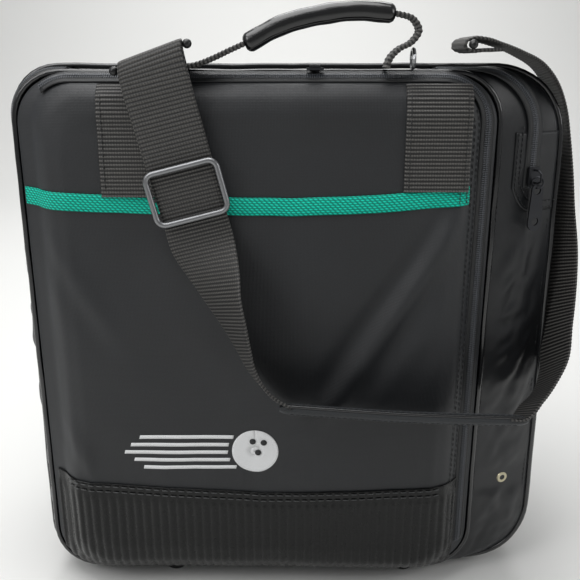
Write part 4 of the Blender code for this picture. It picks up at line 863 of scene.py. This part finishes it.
flat = np.concatenate([rear_rings, rear_rings[..., :1] * 0], 2).reshape(-1, 3)
rear_waves = (noise_at(flat, 12.0, 5.5) * 0.0007 - 0.0005).reshape(rear_gap.shape) * np.clip(rear_gap / 0.03, 0, 1)
rear_points = np.stack([rear_rings[..., 0], REAR + rear_proud + rear_waves, rear_rings[..., 1]], -1) + MIDDLE
rear_count = rear_points.shape[1]
rear_faces = grid_faces(len(rear_points), rear_count, closed=True)
rear_faces.append(tuple(range((len(rear_points) - 1) * rear_count, len(rear_points) * rear_count)))
rear_faces = [face[::-1] for face in rear_faces]
rear_cover = link_up(
    "rear_cover", rear_points.reshape(-1, 3), rear_faces, [matt_nylon], corner_uvs(rear_faces, rear_rings.reshape(-1, 2)), 60
)
backing = rear_cover.modifiers.new("cloth thickness", "SOLIDIFY")
backing.thickness = 0.0016
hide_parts("rear_panel")


# Top: the lid and the hems before and behind it, in satin nylon over thin foam. It sags into the
# open mouth, so the zip that joins them dips with it.
def top_place(x, y):
    base = np.interp(y, [0, 0.0301, REAR], [TOP, 0.460, REAR_TOP])
    ease = np.sin(np.pi * np.clip((y - 0.0105) / (REAR - 0.0195), 0, 1)) ** 0.5
    u = (x + 0.005) / 0.145
    return np.stack([x, y, base - 0.014 * ease * np.clip(1 - u**2, 0, 1)], -1)


def top_cloth(name, low_y, high_y, rows, lift):
    x, y = np.meshgrid(np.linspace(-0.1495, 0.1395, 110), np.linspace(low_y, high_y, rows))
    points = top_place(x, y)
    flat = points.reshape(-1, 3)
    sway = (noise_at(flat, 16.0, 9.0) * 0.0028 + noise_at(flat, 45.0, 3.0) * 0.0010).reshape(x.shape)
    edge = np.clip(np.minimum(y - low_y, high_y - y) / 0.02, 0, 1)
    points[..., 2] += sway * edge + lift
    return sheet_from(name, points + MIDDLE, [satin_nylon], 0.0014)


hem_front = top_cloth("hem_front", 0.0028, 0.0092, 5, 0.0)
hem_rear = top_cloth("hem_rear", REAR - 0.0074, REAR - 0.0027, 5, 0.0)
lid = top_cloth("lid_cover", 0.0192, REAR - 0.0095, 60, 0.0)
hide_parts("mouth_hem_front")
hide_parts("mouth_hem_rear")
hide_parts("lid_panel")
for piece, body in ((base_cloth, "bag"), (rear_cover, "bag"), (hem_front, "bag"), (hem_rear, "bag"), (lid, "lid")):
    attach(piece, body)
for piece in (front_cover, base_cloth, rear_cover, hem_front, hem_rear, lid, tape, gusset, *side_sheets):
    declare_cloth(piece)


# Zips: nylon coil on woven tape. One runs round the top and down both strips; the pocket's runs
# up the right of the front and along its top.
zip_tape_cloth = woven_cloth("herringbone_zip_tape", "#0d0e0f", "#1a1c1e", 0.55, 0.6, 0.06, 0.0016)
coil, tree, shader = start_finish("extruded_nylon_coil", "#45484d", 0.34, Specular_IOR_Level=0.5)
scuffs = add_node(tree, "ShaderNodeTexNoise", {"Scale": 500.0})
tree.links.new(
    add_node(tree, "ShaderNodeMapRange", {"To Min": 0.26, "To Max": 0.42}, {"Value": scuffs.outputs["Fac"]}).outputs[0],
    shader.inputs["Roughness"],
)
COIL_PITCH = 0.0017


def zip_run(name, path, ways, node, body, width=0.0062, tape_half=0.0075, tape_out=0.0006):
    """A coil along a path with its tape: ways points out of the cloth."""
    path, ways = np.asarray(path, float), np.asarray(ways, float)
    teeth = run_of(f"{name}_coil", path + ways * 0.0006, ways, (width, 0.0012, 0.0013), COIL_PITCH, coil, across=True)
    along = np.gradient(path, axis=0)
    along /= np.linalg.norm(along, axis=1)[:, None]
    side = np.cross(along, ways)
    rows = [path + side * (tape_half * k) - ways * (tape_out * abs(k)) for k in (-1, -0.7, -0.4, 0, 0.4, 0.7, 1)]
    band = sheet_from(f"{name}_tape", np.array(rows), [zip_tape_cloth], 0.0007)
    centre_line = run_of(f"{name}_centre", path + ways * 0.0013, ways, (0.0016, 0.0014, 0.0008), 0.0018, coil)
    for piece in (teeth, band, centre_line):
        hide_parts(node)
        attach(piece, body)


for side, sign in (("right", 1), ("left", -1)):
    ridge, ridge_ways = strip_ridges[sign]
    upper = (ridge[:, 2] > 0.366) & (np.arange(len(ridge)) > 60)
    zip_run(f"main_zip_{side}", ridge[upper] + MIDDLE + ridge_ways[upper] * 0.0014, ridge_ways[upper], f"main_zip_{side}", "bag")
lid_x = np.linspace(-0.149, 0.139, 150)
lid_path = top_place(lid_x, np.full(150, 0.0145))
lid_ways = np.cross(np.gradient(lid_path, axis=0), (0, 1.0, 0))
lid_ways /= np.linalg.norm(lid_ways, axis=1)[:, None]
zip_run("lid_zip", lid_path + MIDDLE + (0, 0, 0.0002), lid_ways, "lid_zip_chain", "lid", 0.0066, 0.0040, 0.0002)


def cover_line(step, out, count_x=90, count_z=120):
    """A closed line round the cover at a step from its piping, with the way out at each point."""
    side, top, bottom, depth, radius = (np.interp(step, step_at, row) for row in step_table)
    line = outline(-HALF + side, HALF - side, BASE + bottom, TOP - top, radius, count_x, count_z)
    y = front_y(line[:, 0], line[:, 1])
    along = np.roll(line, -1, 0) - np.roll(line, 1, 0)
    along /= np.linalg.norm(along, axis=1)[:, None]
    steep = 0.5 + 0.35 * np.abs(along[:, 0])
    ways = np.stack([along[:, 1] * steep, -np.sqrt(1 - steep**2), -along[:, 0] * steep], 1)
    return np.stack([line[:, 0], y, line[:, 1]], 1) + ways * out, ways


pocket_path, pocket_ways = cover_line(1.5, 0.0016)
pocket_run = slice(96, 300)
zip_run("pocket_zip", pocket_path[pocket_run] + MIDDLE, pocket_ways[pocket_run], "front_zip", "bag", 0.0066, 0.0070, 0.0009)
for k, step in enumerate((2.62, 3.25)):
    path, ways = cover_line(step, 0.0008)
    chosen = slice(100, 208)
    row = run_of(f"pocket_stitch_{k}", path[chosen] + MIDDLE, ways[chosen], (0.0034, 0.0009, 0.0009), 0.0050, sewing)
    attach(row, "bag")


# Zip pulls, eyelet and rings: die-cast zinc in a dark plated finish, and bright plated wire.
gunmetal, tree, shader = start_finish("dark_plated_zinc", "#3f4043", 0.32, Metallic=0.9)
wear = add_node(tree, "ShaderNodeTexNoise", {"Scale": 120.0, "Detail": 5.0})
tree.links.new(
    add_node(tree, "ShaderNodeMapRange", {"To Min": 0.22, "To Max": 0.45}, {"Value": wear.outputs["Fac"]}).outputs[0],
    shader.inputs["Roughness"],
)
plated, tree, shader = start_finish("bright_plated_steel", "#9a9b9d", 0.22, Metallic=1.0)
wear = add_node(tree, "ShaderNodeTexNoise", {"Scale": 90.0, "Detail": 4.0})
tree.links.new(
    add_node(tree, "ShaderNodeMapRange", {"To Min": 0.16, "To Max": 0.34}, {"Value": wear.outputs["Fac"]}).outputs[0],
    shader.inputs["Roughness"],
)
brass, tree, shader = start_finish("aged_brass_plate", "#b9b08f", 0.28, Metallic=1.0)
tarnish = add_node(tree, "ShaderNodeTexNoise", {"Scale": 300.0, "Detail": 4.0})
tones = add_node(tree, "ShaderNodeValToRGB", links={"Fac": tarnish.outputs["Fac"]})
tones.color_ramp.elements[0].color = linear("#8c8468")
tones.color_ramp.elements[1].color = linear("#d8d2ba")
tree.links.new(tones.outputs["Color"], shader.inputs["Base Color"])


def finish_nodes(material, names, bevel=0.0):
    """Gives carried-over pieces their material, and softens their edges."""
    for name in names:
        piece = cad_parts[name]
        piece.data.materials.clear()
        piece.data.materials.append(material)
        if bevel:
            edge = piece.modifiers.new("softened edges", "BEVEL")
            edge.width = bevel
            edge.segments = 2
            edge.limit_method = "ANGLE"
            edge.angle_limit = math.radians(40)


finish_nodes(gunmetal, ("main_slider", "main_pull_tab", "pocket_slider", "pocket_pull_tab"), 0.0003)
finish_nodes(gunmetal, ("main_slider_ring",))
finish_nodes(plated, ("d_ring_left", "d_ring_right"))
finish_nodes(brass, ("eyelet",))


# Carrying handle: a rope of foam in glossy black vinyl, rolled and sewn along its underside, on
# webbing folded narrow that comes up from the two legs.
rolled_vinyl, tree, shader = start_finish("rolled_glossy_vinyl", "#08090a", 0.22, Coat_Weight=0.4, Coat_Roughness=0.15)
uv = add_node(tree, "ShaderNodeTexCoord").outputs["UV"]
creases = add_node(tree, "ShaderNodeTexNoise", {"Scale": 120.0, "Detail": 5.0, "Roughness": 0.65}, {"Vector": uv})
tree.links.new(
    add_node(tree, "ShaderNodeBump", {"Strength": 0.25, "Distance": 0.0006}, {"Height": creases.outputs["Fac"]}).outputs[0],
    shader.inputs["Normal"],
)
grip_line, grip_run = smooth_line(
    [(-0.0078, -0.012, 0.4781), (0.020, -0.012, 0.4920), (0.048, -0.012, 0.4990), (0.075, -0.012, 0.5020), (0.1038, -0.012, 0.5000)], 0.0012
)
from_end = np.minimum(grip_run, grip_run[-1] - grip_run)
grip_radius = 0.0073 * (0.55 + 0.45 * np.sqrt(np.clip(from_end / 0.0035, 0, 1)))
grip_radius = grip_radius + 0.00025 * np.sin(grip_run * 260) * np.sin(grip_run * 71)
grip = tube_along("handle_roll", grip_line + MIDDLE, grip_radius, rolled_vinyl, sides=28)
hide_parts("handle_grip")
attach(grip, "carry_handle")
seam_path = grip_line + MIDDLE + np.array((0, -0.0052, -0.0056))
seam = tube_along("handle_seam", seam_path[3:-3], 0.0008, rolled_vinyl, sides=8, squash=0.6)
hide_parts("handle_grip")
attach(seam, "carry_handle")
web_left = webbing(
    "handle_webbing_left",
    [
        ((-0.070, -0.012, 0.4615), (0.002, 0.012, 0)),
        ((-0.056, -0.012, 0.4620), (0.0006, 0.0118, 0)),
        ((-0.044, -0.012, 0.4640), (0, 0.0110, 0)),
        ((-0.032, -0.012, 0.4684), (0, 0.0090, 0)),
        ((-0.020, -0.012, 0.4738), (0, 0.0068, 0)),
        ((-0.0080, -0.012, 0.4790), (0, 0.0052, 0)),
    ],
    ply=1.7,
)
web_right = webbing(
    "handle_webbing_right",
    [
        ((0.0985, -0.012, 0.4615), (0, 0.0120, 0)),
        ((0.1005, -0.012, 0.4680), (0, 0.0118, 0)),
        ((0.1065, -0.012, 0.4745), (0, 0.0112, 0)),
        ((0.1165, -0.012, 0.4800), (0, 0.0104, 0)),
        ((0.1215, -0.012, 0.4880), (0, 0.0088, 0)),
        ((0.1175, -0.012, 0.4955), (0, 0.0068, 0)),
        ((0.1040, -0.012, 0.5002), (0, 0.0050, 0)),
    ],
    ply=1.7,
)
for piece, node in ((web_left, "handle_web_left"), (web_right, "handle_web_right")):
    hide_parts(node)
    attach(piece, "carry_handle")


# Clips: moulded black acetal, each a block that hooks its ring and carries a bar for the strap,
# with rounded knobs where the bar meets its arms.
acetal, tree, shader = start_finish("moulded_black_acetal", "#0c0d0e", 0.34)
mottle = add_node(tree, "ShaderNodeTexNoise", {"Scale": 220.0, "Detail": 3.0})
tree.links.new(
    add_node(tree, "ShaderNodeBump", {"Strength": 0.08, "Distance": 0.0003}, {"Height": mottle.outputs["Fac"]}).outputs[0],
    shader.inputs["Normal"],
)
finish_nodes(acetal, ("strap_clip_left", "strap_clip_right"))
for name, a, b in (
    ("left", (-0.103, -0.030, 0.4595), (-0.049, -0.030, 0.4785)),
    ("right", (0.158, -0.034, 0.478), (0.158, 0.024, 0.478)),
):
    a, b = np.array(a) + MIDDLE, np.array(b) + MIDDLE
    way = (b - a) / np.linalg.norm(b - a)
    for k, (end, push) in enumerate(((a, -1), (b, 1))):
        run = np.linspace(-0.0034, 0.0034, 9)
        swell = 0.0034 * np.sqrt(np.clip(1 - (run / 0.0036) ** 2, 0.03, 1))
        knob = tube_along(f"clip_knob_{name}_{k}", end + way * (run[:, None] + push * 0.0002), swell, acetal, sides=14)
        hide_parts(f"strap_clip_{name}")
        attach(knob, "bag")


# Shoulder strap: one length of webbing from the slider, up behind, over the left bar and down the
# front, turning on edge into the pad; another from the pad round the side to the right bar.
STRAP_TOP = np.array((-0.0762, -0.036, 0.4660))
STRAP_WAY = np.array((0.0422, 0.0, -0.1660)) / 0.17128
STRAP_HALF = np.array((0.96917, 0.0, 0.24638)) * 0.025
BAR_HALF = np.array((0.9433, 0.0, 0.3319)) * 0.025
BAR = np.array((-0.0760, -0.030, 0.4690))
strap_stations = [(STRAP_TOP + STRAP_WAY * s + (0, 0.0046, 0), STRAP_HALF) for s in (0.114, 0.085, 0.055, 0.028)]
strap_stations += [(STRAP_TOP + STRAP_WAY * 0.010 + (0, 0.0095, 0), STRAP_HALF)]
strap_stations += [
    (BAR + np.array((0, 0.0042 * math.cos(t), 0.0042 * math.sin(t))), BAR_HALF) for t in np.radians((0, 45, 90, 135, 180))
]
strap_stations += [(STRAP_TOP + STRAP_WAY * s, STRAP_HALF) for s in (0.012, 0.035, 0.070, 0.098, 0.120, 0.140)]
strap_stations += [
    ((-0.0335, -0.0420, 0.3080), (0.0210, -0.0100, 0.0056)),
    ((-0.0270, -0.0465, 0.2890), (0.0160, -0.0178, 0.0066)),
    ((-0.0170, -0.0510, 0.2660), (0.0105, -0.0215, 0.0075)),
    ((-0.0105, -0.0528, 0.2490), (0.0068, -0.0222, 0.0088)),
    ((-0.0050, -0.0540, 0.2340), (0.0040, -0.0225, 0.0100)),
    ((0.0040, -0.0545, 0.2190), (0.0010, -0.0225, 0.0108)),
    ((0.0140, -0.0545, 0.2075), (0.0, -0.0225, 0.0110)),
    ((0.0270, -0.0545, 0.1995), (0.0, -0.0225, 0.0110)),
]
strap = webbing("shoulder_webbing_front", strap_stations)
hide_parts("strap_front")
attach(strap, "bag")
side_stations = [
    ((0.1980, -0.0545, 0.1897), (0.0, -0.0225, 0.0110)),
    ((0.2075, -0.0545, 0.1895), (0.0, -0.0225, 0.0110)),
    ((0.2255, -0.0385, 0.1965), (0.0020, -0.0215, 0.0125)),
    ((0.2402, -0.0235, 0.2040), (0.0020, -0.0205, 0.0140)),
    ((0.2517, -0.0075, 0.2180), (0.0040, -0.0202, 0.0138)),
    ((0.2560, 0.0090, 0.2420), (0.0062, -0.0204, 0.0126)),
    ((0.2592, 0.0225, 0.2665), (0.0078, -0.0213, 0.0100)),
    ((0.2612, 0.0390, 0.3085), (0.0086, -0.0225, 0.0062)),
    ((0.2602, 0.0500, 0.3440), (0.0070, -0.0237, 0.0034)),
    ((0.2598, 0.0548, 0.3780), (0.0036, -0.0247, 0.0015)),
    ((0.2590, 0.0550, 0.4060), (-0.0010, -0.0249, 0.0005)),
    ((0.2535, 0.0500, 0.4270), (-0.0020, -0.0245, 0.0010)),
    ((0.2420, 0.0410, 0.4465), (-0.0020, -0.0245, 0.0020)),
    ((0.2260, 0.0280, 0.4620), (-0.0030, -0.0245, 0.0020)),
    ((0.2040, 0.0120, 0.4720), (-0.0030, -0.0245, 0.0010)),
    ((0.1820, 0.0000, 0.4790), (-0.0015, -0.0249, 0.0)),
    ((0.1690, -0.0045, 0.4820), (0.0, -0.0249, 0.0)),
    ((0.1590, -0.0050, 0.4824), (0.0, -0.0249, 0.0)),
    ((0.1542, -0.0050, 0.4800), (0.0, -0.0249, 0.0)),
    ((0.1540, -0.0050, 0.4760), (0.0, -0.0249, 0.0)),
    ((0.1580, -0.0050, 0.4738), (0.0, -0.0249, 0.0)),
    ((0.1690, -0.0040, 0.4742), (0.0, -0.0249, 0.0)),
    ((0.1830, -0.0005, 0.4745), (-0.0010, -0.0249, 0.0)),
]
strap = webbing("shoulder_webbing_side", side_stations)
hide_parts("strap_side")
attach(strap, "bag")


# Shoulder pad: a strip of foam in black nylon, bound and sewn round its edge, stiff enough to
# stay straight across the front.
pad_cloth = woven_cloth("padded_matt_nylon", "#1a1c1e", "#292c2f", 0.55, 0.4, 0.12)
pad_line, pad_run = smooth_line(
    [(0.018, -0.0545, 0.1992), (0.060, -0.0545, 0.1960), (0.110, -0.0545, 0.1925), (0.160, -0.0545, 0.1905), (0.213, -0.0545, 0.1893)], 0.0025
)
pad_half = np.array((0.0, -0.0225, 0.0110))
pad_wide = pad_half / np.linalg.norm(pad_half)
pad_out = np.array((0.0, 0.4392, 0.8984))
pad_turns = np.linspace(0, math.tau, 44, endpoint=False)
pad_rings, pad_uvs = [], []
for place, run in zip(pad_line, pad_run):
    near_end = min(run, pad_run[-1] - run)
    full = 0.55 + 0.45 * math.sqrt(min(near_end / 0.010, 1))
    narrow = 0.80 + 0.20 * math.sqrt(min(near_end / 0.012, 1))
    ring = []
    for turn in pad_turns:
        c, s = math.cos(turn), math.sin(turn)
        across = math.copysign(abs(c) ** 0.35, c) * 0.0240 * narrow
        groove = 1 - 0.24 * math.exp(-(((abs(across) - 0.0185) / 0.0016) ** 2))
        rise = math.copysign(abs(s) ** 0.6, s) * 0.0046 * full * groove
        ring.append(place + pad_wide * across + pad_out * rise)
        pad_uvs.append((across + (0.06 if s < 0 else 0), run))
    pad_rings.append(ring)
pad_points = np.array(pad_rings) + MIDDLE
pad_faces = grid_faces(len(pad_points), len(pad_turns), closed=True)
pad_faces.append(tuple(range(len(pad_turns))))
pad_faces.append(tuple(range((len(pad_points) - 1) * len(pad_turns), len(pad_points) * len(pad_turns)))[::-1])
pad_faces = [face[::-1] for face in pad_faces]
pad = link_up("foam_shoulder_pad", pad_points.reshape(-1, 3), pad_faces, [pad_cloth], corner_uvs(pad_faces, pad_uvs), 60)
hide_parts("shoulder_pad")
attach(pad, "bag")
for k, (across, rise) in enumerate(((0.0185, 0.0040), (0.0185, -0.0040), (-0.0185, 0.0040), (-0.0185, -0.0040))):
    path = pad_line[3:-3] + pad_wide * across + pad_out * rise + MIDDLE
    row = run_of(f"pad_stitch_{k}", path, np.repeat(pad_out[None] * np.sign(rise), len(path), 0), (0.0032, 0.0008, 0.0007), 0.0046, sewing)
    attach(row, "bag")
binding = tube_along("pad_binding", pad_line[2:-2] + pad_wide * 0.0237 + pad_out * 0.0022 + MIDDLE, 0.0013, gloss_bead, sides=10)
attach(binding, "bag")


# Strap slider: a flat frame of satin plated zinc with three bars, threaded on the strap.
satin_zinc, tree, shader = start_finish("satin_plated_zinc", "#8a8b8d", 0.36, Metallic=0.95)
brushed = add_node(tree, "ShaderNodeTexNoise", {"Scale": 160.0, "Detail": 4.0})
tree.links.new(
    add_node(tree, "ShaderNodeMapRange", {"To Min": 0.28, "To Max": 0.46}, {"Value": brushed.outputs["Fac"]}).outputs[0],
    shader.inputs["Roughness"],
)
slider_at = STRAP_TOP + STRAP_WAY * 0.098 + MIDDLE
slider_across = STRAP_HALF / 0.025
ring = outline(-0.02785, 0.02785, -0.020, 0.020, 0.0065, 30, 24)
ahead = np.array((0.0, -1.0, 0.0))
frame_path = slider_at + slider_across * ring[:, :1] + STRAP_WAY * ring[:, 1:] + ahead * 0.0040
slider_frame = tube_along("slider_frame", frame_path, 0.0023, satin_zinc, closed=True, sides=14)
share = np.linspace(-1, 1, 41)
dip = np.clip((1 - np.abs(share)) / 0.10, 0, 1)
bar_path = slider_at + slider_across * (0.0272 * share)[:, None] + ahead * (0.0040 - 0.0068 * dip)[:, None]
slider_bar = tube_along("slider_bar", bar_path, 0.0018, satin_zinc, sides=12)
for piece in (slider_frame, slider_bar):
    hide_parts("strap_slider")
    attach(piece, "strap_slider")


# Feet and wheels: black rubber feet on plated screws under the front, and hard rubber wheels in
# moulded housings at the rear.
rubber, tree, shader = start_finish("moulded_black_rubber", "#1a1a1b", 0.7)
dust = add_node(tree, "ShaderNodeTexNoise", {"Scale": 80.0, "Detail": 6.0})
tones = add_node(tree, "ShaderNodeValToRGB", links={"Fac": dust.outputs["Fac"]})
tones.color_ramp.elements[0].color = linear("#131314")
tones.color_ramp.elements[1].color = linear("#2a2a2b")
tree.links.new(tones.outputs["Color"], shader.inputs["Base Color"])
polypropylene, tree, shader = start_finish("textured_black_polypropylene", "#17181a", 0.48)
spark = add_node(tree, "ShaderNodeTexNoise", {"Scale": 900.0, "Detail": 2.0})
tree.links.new(
    add_node(tree, "ShaderNodeBump", {"Strength": 0.3, "Distance": 0.0002}, {"Height": spark.outputs["Fac"]}).outputs[0],
    shader.inputs["Normal"],
)
finish_nodes(rubber, ("foot_left", "foot_right", "wheel_left", "wheel_right"), 0.0006)
finish_nodes(plated, ("foot_screw_left", "foot_screw_right", "axle_left", "axle_right"), 0.0003)
finish_nodes(polypropylene, ("wheel_housing_left", "wheel_housing_right"), 0.0008)


# Pull handle: anodised aluminium stems that slide in tubes held by moulded brackets, under one
# moulded grip.
aluminium, tree, shader = start_finish("clear_anodised_aluminium", "#b3b5b8", 0.3, Metallic=1.0)
drawn = add_node(tree, "ShaderNodeTexNoise", {"Scale": 200.0, "Detail": 3.0})
tree.links.new(
    add_node(tree, "ShaderNodeMapRange", {"To Min": 0.22, "To Max": 0.40}, {"Value": drawn.outputs["Fac"]}).outputs[0],
    shader.inputs["Roughness"],
)
finish_nodes(aluminium, ("pull_tube_left", "pull_tube_right", "pull_stem_left", "pull_stem_right"), 0.0004)
finish_nodes(polypropylene, ("tube_bracket_bottom", "tube_bracket_top", "pull_grip"), 0.0008)


# Inside: grey open-cell foam behind the front, and black fibreboard behind it, under the base and
# in the rear.
open_foam, tree, shader = start_finish("open_cell_foam", "#8f8f8c", 0.9)
cells = add_node(tree, "ShaderNodeTexVoronoi", {"Scale": 700.0})
tree.links.new(
    add_node(tree, "ShaderNodeBump", {"Strength": 0.6, "Distance": 0.0008}, {"Height": cells.outputs["Distance"]}).outputs[0],
    shader.inputs["Normal"],
)
fibreboard, tree, shader = start_finish("black_fibreboard", "#1e1d1c", 0.75)
fibres = add_node(tree, "ShaderNodeTexNoise", {"Scale": 260.0, "Detail": 6.0})
tree.links.new(
    add_node(tree, "ShaderNodeBump", {"Strength": 0.25, "Distance": 0.0004}, {"Height": fibres.outputs["Fac"]}).outputs[0],
    shader.inputs["Normal"],
)
fx, fz = np.meshgrid(np.linspace(-0.146, 0.146, 90), np.linspace(0.053, 0.424, 110))
corner_x = np.maximum(np.abs(fx) - 0.126, 0)
round_in = 0.020 - np.sqrt(np.maximum(0.020**2 - corner_x**2, 0))
fz = 0.2385 + (fz - 0.2385) * (1 - round_in / 0.1855)
face = np.stack([fx, np.minimum(front_y(fx, fz) + 0.0021, -0.0212), fz], -1)
behind = np.stack([fx, np.full_like(fx, -0.0197), fz], -1)
foam_rows, foam_columns = fx.shape
foam_points = np.concatenate([face.reshape(-1, 3), behind.reshape(-1, 3)]) + MIDDLE
foam_faces = grid_faces(foam_rows, foam_columns)
foam_faces += [tuple(i + fx.size for i in face_)[::-1] for face_ in grid_faces(foam_rows, foam_columns)]
rim = [*range(foam_columns), *range(2 * foam_columns - 1, fx.size, foam_columns)]
rim += [*range(fx.size - 2, fx.size - foam_columns - 1, -1), *range(fx.size - 2 * foam_columns, 0, -foam_columns)]
for a, b in zip(rim, rim[1:] + rim[:1]):
    foam_faces.append((b, a, a + fx.size, b + fx.size))
foam = link_up("front_foam_sheet", foam_points, foam_faces, [open_foam], smooth=50)
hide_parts("front_foam")
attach(foam, "bag")
finish_nodes(fibreboard, ("pocket_back", "base_board", "rear_board"))
